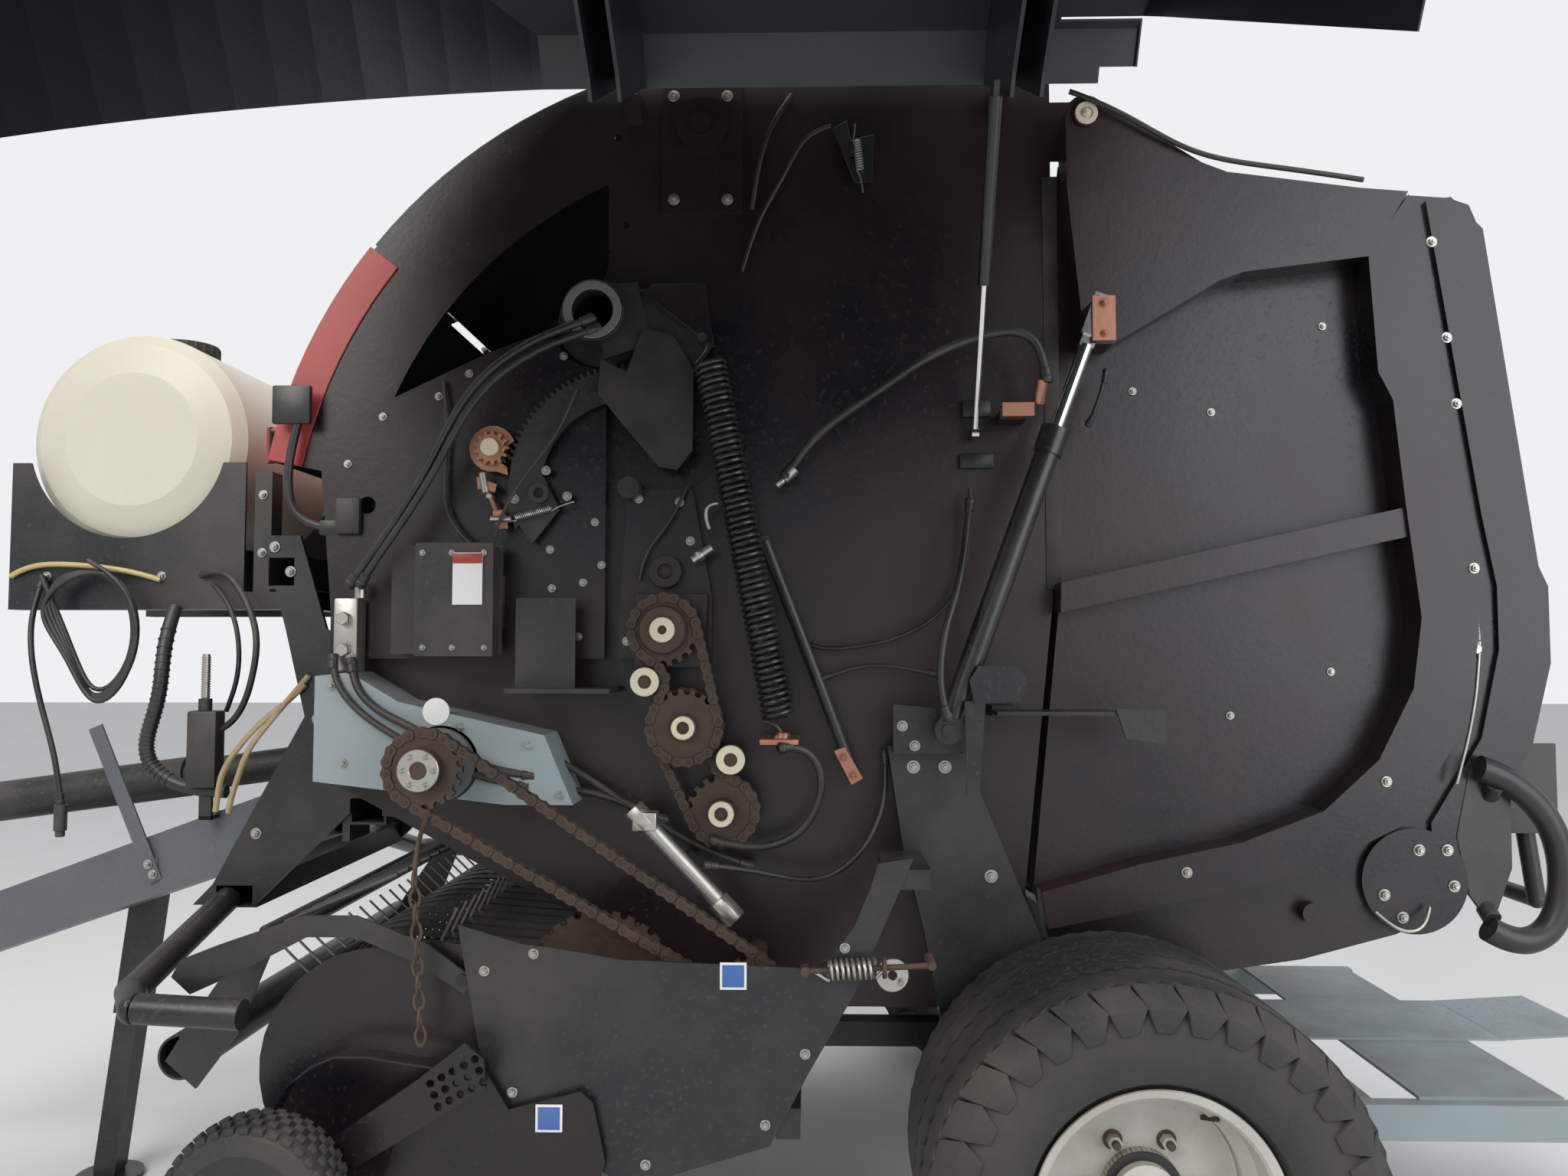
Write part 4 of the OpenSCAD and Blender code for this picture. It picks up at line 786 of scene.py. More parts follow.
def helix(p, q, y, r, wire, pitch, name, finish_name, body, step=14):
    d = Vector((q[0] - p[0], 0, q[1] - p[1]))
    length = d.length
    d.normalize()
    across = Vector((d.z, 0, -d.x))
    out = Vector((0, 1, 0))
    turns = length / pitch
    points = []
    for k in range(int(turns * step) + 1):
        a = 2 * math.pi * k / step
        centre = Vector((p[0], y, p[1])) + d * min(length, k * pitch / step)
        points.append(centre + across * r * math.cos(a) + out * r * math.sin(a))
    coil = pipe(points, wire, smooth=False, sides=2)
    start, end = Vector((p[0], y, p[1])), Vector((q[0], y, q[1]))
    hook = pipe([start + across * r, start + across * r * 0.6 - d * 14, start - d * 24, start - d * 38],
                wire, True, 3)
    tail = pipe([end + across * r, end + across * r * 0.5 + d * 10, end + d * 16, end + d * 55], wire, True,
                3)
    return join(name, [coil, hook, tail], finish_name, body)


print("helix is ready")


# %% [markdown]
# ### Coils and their seats
# Both sides have the same long coil. It hangs in a hook of the take-up arm, and
# its lower hook sits in a seat bolted to the wall. Coil and seat replace the
# ribbed sleeve of the CAD part.

# %% Tension coils
for side, sign in (("left", -1), ("right", 1)):
    helix(TOP, FOOT, sign * SPRING_Y, 32, 5.6, 14.2, "tension_coil_" + side, "spring", "chassis")
anchor = [block((-740, -760, 1243), (-655, -609, 1255), 2), block((-740, 609, 1243), (-655, 760, 1255), 2)]
for s in (-1, 1):
    anchor.append(drum((-700, s * 609, 1255), (-700, s * 735, 1255), 9))
    anchor.append(drum((-692, s * 722, 1235), (-689, s * 722, 1268), 17, sides=6))
rods = join("anchor_seats", anchor, "copper", "chassis")
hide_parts("tension_springs")
print("tension coils done")


# %% [markdown]
# ### Wall stays
# A round stay runs down beside each coil and stiffens the wall. Its lower end on
# the left is held by a small copper-coloured strap with two bolts. It is plain
# bar, so drums and one plate are enough.

# %% Wall stays
stays = [drum((-734, s * 640, 1700), (-538, s * 640, 1190), 14) for s in (-1, 1)]
stays += [drum((-734, s * 609, 1700), (-734, s * 650, 1700), 14) for s in (-1, 1)]
join("wall_stays", stays, "frame", "chassis")
clip = plate([(-577, 1222), (-551, 1232), (-510, 1160), (-537, 1145)], -652, 6)
join("stay_clip", [clip] + bolt(-555, -658, 1208, 7) + bolt(-533, -658, 1168, 7), "copper", "chassis")
join("stay_seat", [drum((-544, -609, 1188), (-544, -652, 1188), 15)], "frame", "chassis")
print("stays done")


# %% [markdown]
# ### Return spring of the pickup
# A short bright coil on a thin rod stands over the lower panel, with a round cam
# behind it. The same helix function winds it, with thinner wire.

# %% Return spring
helix((-595, 812), (-500, 817), -952, 19, 3.6, 11, "return_coil", "zinc", "chassis")
rod = [drum((-640, -952, 810), (-388, -952, 823), 6), drum((-388, -960, 823), (-388, -884, 823), 9),
       drum((-640, -960, 810), (-640, -926.4, 810), 10), drum((-486, -952, 818), (-478, -952, 818), 21)]
join("return_rod", rod, "rusty", "chassis")
join("return_cam", [drum((-462, -884, 786), (-462, -889, 786), 34, 9, 40)] + bolt(-446, -889, 772, 6),
     "zinc", "chassis")
print("springs done")


# %% [markdown]
# ## Hoses and wires
# Each hose leaves its fitting straight, sags, and turns in one smooth bend,
# because rubber hose of this size can't kink. They are NURBS curves through a
# few listed points, thick for hydraulics and thin for wires.

# %% Hose makers
def hose(name, points, r, finish_name="hose", ends=True, body="chassis"):
    parts = [pipe(points, r)]
    if ends:
        for p, q in ((points[0], points[1]), (points[-1], points[-2])):
            d = (Vector(q) - Vector(p)).normalized()
            parts.append(drum(Vector(p), Vector(p) + d * 34, r * 1.35, sides=16))
            parts.append(drum(Vector(p) + d * 4, Vector(p) + d * 16, r * 1.6, sides=6, soft=0.8))
    return join(name, parts, finish_name, body)


def free_hose(name, points, r, finish_name="hose"):
    """A hose that hangs free: a tube whose centreline is measured and returned."""
    curve = line(points)
    shape = curve.evaluated_get(bpy.context.evaluated_depsgraph_get()).to_mesh()
    way = [vertex.co.copy() for vertex in shape.vertices]
    length = sum((b - a).length for a, b in zip(way, way[1:]))
    tube = join(name, [thicken(curve, r)], finish_name, "chassis")
    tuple(way[0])
    print(name, round(length, 3), "m")
    return way


print("hose and free_hose are ready")


# %% [markdown]
# ### Pressure hoses
# The thick hoses carry oil from the take-up shaft to the block of valves, over
# the belts, and down to the front. Their bends are wide, because pressure hose
# is stiff. The points are picked where each hose is seen to run.

# %% Pressure hoses
for k in (0, 1):
    hose("hose_to_manifold_%d" % k, [(-1112 + 14 * k, -736, 2196 - 22 * k), (-1165, -752, 2172 - 24 * k),
         (-1228, -758, 2150 - 26 * k), (-1350 + 10 * k, -758, 2076 - 22 * k),
         (-1428 + 16 * k, -754, 1970 - 14 * k), (-1475 + 20 * k, -750, 1865), (-1555 + 20 * k, -745, 1734),
         (-1625 + 18 * k, -738, 1640), (-1662 + 24 * k, -730, 1590)], 9)
hose("hose_over_belts", [(-687, -700, 1835), (-640, -712, 1905), (-592, -722, 1954), (-465, -736, 2033),
     (-389, -742, 2089), (-299, -742, 2133), (-201, -742, 2160), (-144, -742, 2153), (-113, -742, 2120),
     (-104, -742, 2040)], 10)
hose("hose_low_a", [(-1651, -735, 1431), (-1640, -745, 1390), (-1627, -752, 1355), (-1575, -758, 1312),
     (-1510, -762, 1285), (-1472, -764, 1262), (-1369, -764, 1205), (-1300, -752, 1180),
     (-1233, -730, 1172)], 9)
hose("hose_low_b", [(-1690, -735, 1440), (-1685, -748, 1395), (-1660, -756, 1350), (-1600, -760, 1295),
     (-1500, -764, 1240), (-1400, -764, 1188), (-1310, -752, 1158), (-1240, -730, 1150)], 8)
print("pressure hoses done")


# %% [markdown]
# ### Hoses behind the chains and loops
# Thinner hoses pass behind the chains and hang in open loops beside the coil and
# the strut. They stay a few centimetres off the wall, so that each throws its own
# shadow on it.

# %% Loops
hose("hose_behind_chain_a", [(-1234, -650, 1219), (-1190, -655, 1192), (-1145, -655, 1167),
     (-1090, -655, 1130), (-1039, -655, 1098), (-990, -655, 1075), (-951, -645, 1063)], 8)
hose("hose_behind_chain_b", [(-1215, -645, 1132), (-1160, -652, 1132), (-1109, -655, 1124),
     (-1050, -655, 1104), (-1004, -655, 1081), (-915, -655, 1020), (-810, -655, 977), (-758, -645, 960)], 8)
hose("spring_loop", [(-700, -760, 1236), (-660, -745, 1240), (-618, -730, 1222), (-597, -715, 1152),
     (-627, -700, 1066), (-688, -690, 1014), (-775, -690, 1005), (-853, -700, 1030)], 9)
hose("low_loop", [(-461, -640, 1222), (-455, -660, 1136), (-480, -680, 1060), (-514, -690, 998),
     (-601, -695, 929), (-723, -700, 955), (-800, -740, 975), (-860, -768, 985)], 6)
hose("strut_loop", [(-264, -655, 1818), (-266, -660, 1750), (-269, -660, 1677), (-292, -660, 1571),
     (-372, -655, 1501), (-440, -650, 1474), (-512, -645, 1457), (-618, -640, 1448), (-640, -625, 1470)], 5,
     ends=False)
hose("foot_wire", [(-346, -700, 1395), (-425, -680, 1413), (-480, -660, 1416), (-530, -650, 1413),
     (-618, -640, 1378)], 5)
print("loops done")


# %% [markdown]
# ### Wires
# Sensor wires are thin and bend tightly. Most are clipped to the wall. The two
# that run along the tailgate ride on it, so that they rise with it.

# %% Wires
hose("top_wire_a", [(-580, -655, 2667), (-620, -655, 2655), (-652, -650, 2630), (-689, -640, 2556),
     (-730, -635, 2490), (-761, -630, 2427), (-789, -620, 2335)], 5, ends=False)
hose("top_wire_b", [(-671, -625, 2757), (-716, -640, 2687), (-740, -640, 2620), (-753, -635, 2566),
     (-765, -620, 2483)], 6, ends=False)
hose("tailgate_wire", [(-40, -712, 2716), (30, -712, 2690), (120, -712, 2640), (201, -706, 2592),
     (306, -704, 2552), (463, -702, 2536), (620, -700, 2510)], 6, ends=False, body="tailgate")
hose("eye_wire", [(-8, -700, 1951), (14, -706, 1990), (29, -706, 2040), (36, -704, 2080)], 5,
     body="tailgate")
hose("wire_box", [(-1345, -705, 1690), (-1330, -715, 1740), (-1300, -712, 1800), (-1270, -706, 1850),
     (-1230, -702, 1900), (-1190, -700, 1960), (-1160, -700, 2040)], 4, ends=False)
hose("wire_front", [(-1475, -660, 2073), (-1466, -668, 2000), (-1463, -668, 1929), (-1470, -668, 1840),
     (-1466, -670, 1767), (-1430, -690, 1715), (-1397, -700, 1690)], 5, ends=False)
hose("wire_tall", [(-905, -655, 1840), (-925, -664, 1790), (-950, -668, 1740), (-985, -668, 1700),
     (-1010, -664, 1660), (-1020, -655, 1610)], 4, ends=False)
hose("hose_cylinder", [(-335, -815, 1300), (-350, -822, 1345), (-356, -820, 1400), (-340, -800, 1500),
     (-314, -780, 1560), (-295, -755, 1640), (-283, -730, 1700), (-270, -700, 1790)], 8)
print("wall hoses done")


# %% [markdown]
# ### Hoses at the tongue
# At the tongue the hoses, wires and clear tubes hang in loops from the tank's
# cradle down to the frame.

# %% Hoses at the tongue
conduit_way = free_hose("conduit", [(-2258, -352, 1560), (-2262, -380, 1500), (-2256, -410, 1430),
                        (-2253, -420, 1350), (-2268, -425, 1280), (-2284, -428, 1223), (-2276, -430, 1170),
                        (-2221, -430, 1122), (-2160, -430, 1104), (-2075, -430, 1100)], 17)
here = [(w - at(0, 0, 0)) * 1000 for w in conduit_way]
rings = [drum(p + (q - p).normalized() * 2, p - (q - p).normalized() * 2, 19, sides=16, soft=0.5)
         for p, q in zip(here[4:-10:2], here[5:-9:2])]
join("conduit_ribs", rings, "hose", "chassis")
free_hose("clear_tube_a", [(-1846, -518, 1368), (-1882, -520, 1328), (-1920, -528, 1300),
          (-1952, -530, 1271), (-1990, -530, 1230), (-2022, -528, 1187), (-2040, -524, 1155),
          (-2049, -520, 1131), (-2058, -516, 1063)], 7, "clear")
free_hose("clear_tube_b", [(-1838, -518, 1388), (-1869, -520, 1350), (-1915, -530, 1290),
          (-1961, -532, 1233), (-1985, -532, 1190), (-1997, -530, 1150), (-2015, -524, 1105),
          (-2027, -516, 1060)], 7, "clear")
free_hose("yellow_hose", [(-2690, -352, 1640), (-2640, -362, 1668), (-2555, -370, 1672),
          (-2438, -372, 1662), (-2360, -366, 1650), (-2300, -352, 1630)], 7, "yellow")
free_hose("loop_a", [(-2193, -352, 1640), (-2130, -380, 1660), (-2076, -400, 1619), (-2020, -430, 1540),
          (-1995, -450, 1467), (-2005, -455, 1380), (-2029, -455, 1296), (-2070, -452, 1255),
          (-2124, -440, 1240)], 8)
free_hose("loop_b", [(-2162, -352, 1618), (-2120, -380, 1590), (-2083, -400, 1542), (-2062, -410, 1470),
          (-2060, -412, 1391), (-2075, -410, 1340), (-2096, -400, 1297)], 6)
print("tongue tubes done")


# %% [markdown]
# ### Wound wire and plug
# A long wire is wound up and hung at the cradle. Each turn is the same rounded
# loop, a little larger and a little lower than the one before, so a loop in the
# code writes the turns. A second hose ends in a plug.

# %% Wound wire and plug
TANK_X = -2440
coil = []
for i in range(5):
    grow = 6 * i
    coil.append((TANK_X - 150 - grow, -385 - 4 * i, 1640 - 20 * i))
    coil.append((TANK_X - 60, -392 - 4 * i, 1470 - grow))
    coil.append((TANK_X - 10 + grow, -398 - 4 * i, 1290 - grow))
    coil.append((TANK_X + 110 + grow, -394 - 4 * i, 1420))
    coil.append((TANK_X + 90 + grow, -389 - 4 * i, 1600 + grow / 2))
    coil.append((TANK_X - 20, -386 - 4 * i, 1665 + grow / 2))
hose("wire_coil", coil, 6, ends=False)
hose("coupler_hose", [(-2600, -356, 1640), (-2612, -380, 1560), (-2606, -398, 1480), (-2585, -408, 1390),
     (-2558, -412, 1300), (-2530, -414, 1220), (-2510, -415, 1140), (-2500, -415, 1060)], 7)
plugs = [drum((-2500, -415, 1000), (-2500, -415, 1065), 15, sides=20),
         drum((-2500, -415, 985), (-2500, -415, 1002), 11, sides=20)]
join("couplers", plugs, "black", "chassis")
print("wire and plug done")


# %% [markdown]
# ### Box with a threaded rod
# A small box stands on a bracket of the tongue and carries a threaded rod. The
# thread is only a row of thin rings: from this distance a real helix would look
# the same and cost far more faces.

# %% Threaded rod box
box_parts = [block((-2160, -470, 1112), (-2086, -420, 1300), 6),
             drum((-2126, -445, 1300), (-2126, -445, 1330), 16, sides=20)]
join("spool_box", box_parts, "black", "chassis")
bracket = [block((-2142, -436, 1030), (-2110, -424, 1116)), block((-2142, -436, 1030), (-2110, -338, 1042))]
join("box_bracket", bracket, "frame", "chassis")
threaded = [drum((-2126, -445, 1330), (-2126, -445, 1440), 9, sides=16)]
threaded += [drum((-2126, -445, 1334 + 6 * k), (-2126, -445, 1337 + 6 * k), 11, sides=16, soft=0.5)
             for k in range(17)]
join("spool_spring", threaded, "zinc", "chassis")
print("tongue hoses done")


# %% [markdown]
# ## Plates, nuts and fittings on the left wall
# These give the side its scale: the bearing's bolts, the sector's bolts, the
# control box's screws, the hydraulic block and the copper-coloured switches.

# %% Bolts of the left side
# How far out each bolted sheet lies, in mm along Y
FACE = {"bearing": -622.5, "front_plate": -650.5, "sector": -682.5, "tall_plate": -640.5, "box": -764.5,
        "leg": -690.5, "foot": -730.5, "panel": -926.5, "tailgate": -690.5, "catch": -624.5, "skin": -608.5,
        "frame": -511.5, "post": -345.5, "strap": -343.5, "cover": -744.5}
bolts("bearing_bolts", FACE["bearing"], [(-950, 2758), (-824, 2757), (-949, 2509), (-823, 2508)], 10,
      "chassis")
bolts("front_plate_bolts", FACE["front_plate"], [(-1490, 2037), (-1620, 1990), (-1700, 1880), (-1690, 1500),
      (-1200, 2130), (-1160, 1480), (-1420, 2090), (-1124, 1743), (-1227, 1680), (-1108, 1644),
      (-1150, 1604), (-1222, 1591)], 7, "chassis")
bolts("sector_bolts", FACE["sector"], [(-1231, 1858), (-1302, 1793), (-1182, 1799)], 8, "chassis")
bolts("tall_plate_bolts", FACE["tall_plate"], [(-1025, 1798), (-930, 1790), (-1050, 1470), (-880, 1460),
      (-905, 1700)], 8, "chassis")
bolts("box_screws", FACE["box"], [(-1484, 1664), (-1419, 1664), (-1348, 1664), (-1481, 1455), (-1416, 1455),
      (-1345, 1455)], 5, "chassis")
print("upper bolts done")


# %% [markdown]
# ### Lower sheets, tailgate and tongue
# Larger bolts hold the axle's leg, the lower panel, the tailgate's frame and the
# tongue. Those of the tailgate ride on it.

# %% Lower bolts
bolts("leg_bolts", FACE["leg"], [(-400, 1190), (-330, 1190), (-380, 950), (-230, 950), (-300, 640),
      (-60, 400)], 11, "chassis")
bolts("foot_bolts", FACE["foot"], [(-427, 1283), (-400, 1240)], 9, "chassis")
bolts("panel_bolts", FACE["panel"], [(-1290, 800), (-1230, 560), (-960, 420), (-720, 500), (-640, 640),
      (-560, 850), (-1190, 835)], 8, "chassis")
bolts("tailgate_bolts", FACE["tailgate"], [(773, 2369), (800, 2150), (817, 2000), (845, 1631), (640, 1160),
      (200, 960)], 9, "tailgate")
bolts("catch_bolts", FACE["catch"], [(803, 1000), (816, 920), (740, 1000), (660, 900), (700, 850)], 10,
      "tailgate")
bolts("skin_bolts", FACE["skin"], [(120, 2050), (300, 2000), (90, 1300), (330, 1300), (560, 1400),
      (560, 2200)], 7, "tailgate")
bolts("frame_bolts", FACE["frame"], [(-1817, 1284), (-1960, 1010), (-1600, 1250), (-1930, 1700),
      (-1890, 1640)], 10, "chassis")
bolts("post_bolts", FACE["post"], [(-2040, 1700), (-2040, 1850), (-2600, 1640), (-2300, 1640)], 9,
      "chassis")
bolts("strap_bolts", FACE["strap"], [(-2316, 905), (-2303, 880)], 9, "chassis")
bolts("cover_bolts", FACE["cover"], [(-1690, 1370), (-1660, 1200), (-1250, 1240), (-1180, 1130),
      (-1400, 1280)], 7, "chassis")
print("bolts done")


# %% [markdown]
# ### Block of valves
# At the front of the wall a bright block joins the oil hoses. It is a cube with
# a small bevel, two plug nuts and a neck on top.

# %% Block of valves
parts = [block((-1700, -715, 1400), (-1646, -660, 1566), 4),
         drum((-1673, -715, 1450), (-1673, -735, 1450), 16, sides=6),
         drum((-1673, -715, 1520), (-1673, -735, 1520), 16, sides=6),
         drum((-1650, -688, 1566), (-1650, -688, 1606), 13, sides=20)]
join("manifold", parts, "zinc", "chassis")
print("block of valves done")


# %% [markdown]
# ### Drive valve
# Between the chains a bright cylinder lies aslant: a valve with nuts at both ends
# and a block on top. It stands off the wall on a stalk, which is modelled too, so
# that nothing hangs in the air.

# %% Drive valve
parts = [block((-1013, -790, 1060), (-960, -745, 1100), 4),
         drum((-990, -768, 1080), (-810, -768, 890), 19, sides=24),
         drum((-830, -768, 911), (-790, -768, 869), 26, sides=6),
         drum((-1015, -768, 1106), (-980, -768, 1070), 26, sides=6)]
join("drive_valve", parts, "zinc", "chassis")
tie = [drum((-900, -768, 985), (-900, -640, 985), 14, sides=16)]
join("valve_stalk", tie, "frame", "chassis")
print("drive valve done")


# %% [markdown]
# ### Switches and the pinion's face
# Copper-coloured zinc marks the small parts of the net drive: four small plates
# with bright barrels, a thin return spring, and the toothed face of the pinion
# with its cam behind. The teeth come from one loop over their number.

# %% Net drive
parts = [plate([(-1388, 1842), (-1372, 1846), (-1368, 1820), (-1384, 1812)], -690, 4),
         plate([(-1362, 1834), (-1340, 1826), (-1346, 1806), (-1368, 1814)], -690, 4),
         plate([(-1350, 1766), (-1322, 1768), (-1320, 1750), (-1348, 1750)], -690, 4),
         plate([(-1344, 1742), (-1316, 1742), (-1314, 1724), (-1340, 1722)], -690, 4),
         drum((-1364, -684, 1814), (-1341, -684, 1760), 6, sides=12)]
join("copper_switches", parts, "copper", "chassis")
parts = [drum((-1374, -695, 1852), (-1365, -695, 1805), 8, sides=20),
         drum((-1354, -695, 1746), (-1306, -695, 1746), 8, sides=20),
         drum((-1360, -650.4, 1800), (-1360, -690, 1800), 7, sides=16),
         drum((-1332, -650.4, 1745), (-1332, -690, 1745), 7, sides=16)]
join("switch_barrels", parts, "zinc", "chassis")
helix((-1298, 1749), (-1216, 1771), -695, 7, 1.8, 4.4, "switch_spring", "zinc", "chassis")
PINION_X, PINION_Z = -1352, 1907
teeth = []
for k in range(13):
    for turn, r in ((-0.30, 31), (-0.15, 41), (0.15, 41), (0.30, 31)):
        a = 2 * math.pi * (k + turn) / 13
        teeth.append((PINION_X + r * math.cos(a), PINION_Z + r * math.sin(a)))
wing = [(PINION_X + 53 * math.cos(math.radians(a)), PINION_Z + 53 * math.sin(math.radians(a)))
        for a in range(20, 281, 20)]
wing += [(-1316, 1846), (-1318, 1866), (-1352, 1888), (-1330, 1907)]
join("pinion_face", [plate(teeth, -700, 9), plate(wing, -688, 5)], "copper", "chassis")
print("net drive done")


# %% [markdown]
# ### Nylon rings
# Bearings and idlers wear pale rings of nylon, which are the brightest marks on
# this dark side. Each is a drum with a bore in front of its CAD wheel.

# %% Nylon rings
parts = [drum((-1352, -709, 1907), (-1352, -724, 1907), 20, sides=28),
         drum((-956, -738, 1494), (-956, -750, 1494), 28, 10)]
parts += [drum((x, -726, z), (x, -736, z), 32, 15) for x, z in ((-996, 1379), (-805, 1208))]
parts += [drum((-910, -730, 1278), (-910, -742, 1278), 26, 14),
          drum((-825, -730, 1090), (-825, -742, 1090), 28, 15)]
join("cream_rings", parts, "cream", "chassis")
print("rings done")


# %% [markdown]
# ### Plates and rings behind the drives
# A square plate lies behind the upper sprocket, a black disc covers its hub, and
# a thick ring frames the hole from which the oil hoses come.

# %% Drive plates
parts = [plate([(-1030, 1578), (-1030, 1410), (-868, 1410), (-862, 1578)], -660, 6)]
parts += [drum((-956, -722, 1494), (-956, -738, 1494), 54, 0, 48),
          drum((-959, -650, 1628), (-959, -676, 1628), 38, 16, 48)]
parts += [drum((-1117, -735, 2212), (-1117, -741, 2212), 70, 47)]
parts += [plate([(-1019, 2268), (-868, 2274), (-845, 2133)], -703, 6)]
# The plates wear the wall's paint, with its painted reddish sheen.
join("drive_plates", parts, "wall", "chassis")
print("drive plates done")


# %% [markdown]
# ### Unions
# Where a hose ends on the wall it has a bright union: a round sleeve and a
# hexagon nut. One small pipe beside the coil is bent steel.

# %% Unions
parts = [drum((-687, -700, 1835), (-662, -706, 1858), 13, sides=20),
         drum((-704, -697, 1819), (-687, -700, 1835), 9, sides=6),
         drum((-896, -690, 1652), (-850, -690, 1682), 10, sides=20),
         drum((-884, -690, 1660), (-872, -690, 1668), 15, sides=6),
         pipe([(-838, -690, 1782), (-856, -690, 1780), (-868, -690, 1766), (-864, -690, 1742),
         (-856, -690, 1722)], 5)]
join("unions", parts, "zinc", "chassis")
join("take_up_ring", [drum((-1117, -741, 2212), (-1117, -746, 2212), 66, 47)], "cast", "chassis")
print("unions done")


# %% [markdown]
# ### Hub of the main drive
# The sprocket at the gearbox has a bright hub with six bolts on a circle, and
# the small one below has a plain ring. The bolt helper gives the heads.

# %% Main hub
hub = [drum((DRIVE[0], -870, DRIVE[1]), (DRIVE[0], -898, DRIVE[1]), 44, 18, 40)]
for k in range(6):
    a = math.radians(60 * k)
    hub += bolt(DRIVE[0] + 33 * math.cos(a), -898, DRIVE[1] + 33 * math.sin(a), 5)
hub.append(drum((SMALL[0], -878, SMALL[1]), (SMALL[0], -892, SMALL[1]), 26, 11, 32))
join("drive_hub", hub, "zinc", "chassis")
print("hub done")


# %% [markdown]
# ### Blank labels
# Signs on the box, the panels and the cover are part of the look. They are thin
# plates in the signs' colours, and stay blank.

# %% Blank labels
parts = [block((-1416, -768.5, 1549), (-1350, -764.3, 1664), 1)]
join("box_label", parts, "white", "chassis")
join("box_label_band", [block((-1416, -770, 1640), (-1350, -768.6, 1662), 0.5)], "red", "chassis")
for name, x, z, face, body in (("panel_label", -785, 793, -926.4, "chassis"),
                               ("skid_label", -1151, 517, -946.4, "pickup")):
    join(name + "_edge", [block((x - 27, face - 1.2, z - 27), (x + 27, face, z + 27), 0.5)], "white", body)
    join(name, [block((x - 22, face - 2.4, z - 22), (x + 22, face, z + 22), 0.5)], "blue", body)
join("cover_label", [drum((-1455, -744.2, 1314), (-1455, -746, 1314), 30, sides=32, soft=0.4)], "white",
     "chassis")
print("labels done")


# %% [markdown]
# ### Lamp and grab tube
# A dark lamp sits at the front of the wall. Before it a bent tube curves out from
# the wall and back, with a square foot at each end.

# %% Lamp and grab tube
join("front_lamp", [block((-1722, -668, 1716), (-1664, -650.4, 1800), 6)], "black", "chassis")
join("grab_tube", [pipe([(-1809, -640, 2045), (-1824, -640, 1980), (-1842, -640, 1900), (-1845, -640, 1845),
     (-1838, -640, 1790), (-1814, -640, 1755), (-1780, -640, 1738), (-1735, -640, 1730)], 10)], "frame",
     "chassis")
parts = [block((-1880, -655, 1975), (-1790, -638, 2065), 4),
         block((-1765, -652, 1715), (-1715, -630, 1750), 4)]
join("grab_feet", parts, "frame", "chassis")
print("grab tube done")


# %% [markdown]
# ### Pipe block and rod eye
# The oil reaches each lift cylinder through a copper-coloured block on the wall,
# and the cylinder's rod ends in an eye plate with two bolts. The eye rides on
# the rod, because the rod turns a little as the tailgate rises.

# %% Pipe block and rod eye
parts = [plate([(-202, 2000), (-202, 1968), (-130, 1968), (-130, 2000)], -700, 34),
         drum((-118, -717, 2000), (-113, -742, 2050), 13, sides=20)]
join("pipe_block", parts, "copper", "chassis")
join("pipe_block_seat", [block((-196, -700, 1972), (-136, -609, 1996), 2)], "frame", "chassis")
eyes = [plate([(-14, 2222), (37, 2222), (37, 2122), (-14, 2122)], -787, 5)]
eyes += bolt(12, -792, 2205, 8) + bolt(12, -792, 2138, 7)
join("copper_eye", eyes, "copper", "rod_left")
print("eye done")


# %% [markdown]
# ### Tailgate's latch wire and hoop
# A thin bright wire runs down to the latch, and a thick bent tube guards the
# tailgate's lower corner. Both are pipes along a few points.

# %% Tailgate hoop
join("catch_wire", [pipe([(860, -640, 1549), (880, -650, 1500), (868, -655, 1430), (860, -650, 1300),
     (820, -640, 1150)], 4), pipe([(633, -640, 865), (660, -660, 835), (697, -668, 820), (735, -660, 840),
     (752, -640, 876)], 4)], "zinc", "tailgate")
hoop = [(870, 1185), (903, 1176), (979, 1132), (1037, 1046), (1052, 942), (1034, 850), (985, 800),
        (930, 800), (880, 830)]
parts = [pipe([(x, -640, z) for x, z in hoop], 29, True, 8),
         plate([(860, 1185), (826, 1030), (851, 899), (900, 830), (948, 960), (950, 1130)], -612, 10),
         drum((905, -612, 1120), (905, -640, 1150), 20), drum((890, -612, 870), (890, -640, 850), 20)]
join("rear_hoop", parts, "frame", "tailgate")
print("hoop done")


# %% [markdown]
# ### Latches and adjusters
# Small catches with springs hold covers at the top of the wall and on the
# tailgate. The same helix function winds their springs.

# %% Latches
latch = [plate([(-576, 2666), (-543, 2685), (-533, 2638), (-479, 2652), (-484, 2540), (-525, 2535)], -640,
         5), drum((-530, -609, 2600), (-530, -645, 2600), 9)] + bolt(-530, -645, 2610, 9)
join("top_latch", latch, "frame", "chassis")
helix((-520, 2635), (-512, 2565), -652, 8, 2, 6, "latch_spring", "zinc", "chassis")
helix((863, 1540), (869, 1470), -650, 8, 2, 6, "adjuster_spring", "zinc", "tailgate")
join("adjuster", [drum((861, -650, 1560), (872, -650, 1430), 4.5),
     drum((866, -609, 1452), (866, -658, 1452), 12, sides=6)], "zinc", "tailgate")
print("latches done")


# %% [markdown]
# ### Pivot cap and strut clamps
# The tailgate's pivot ends in a pale cap with a bolt. Two flat clamps hold the
# shield's gas strut, and are thin so that the strut swings past them.

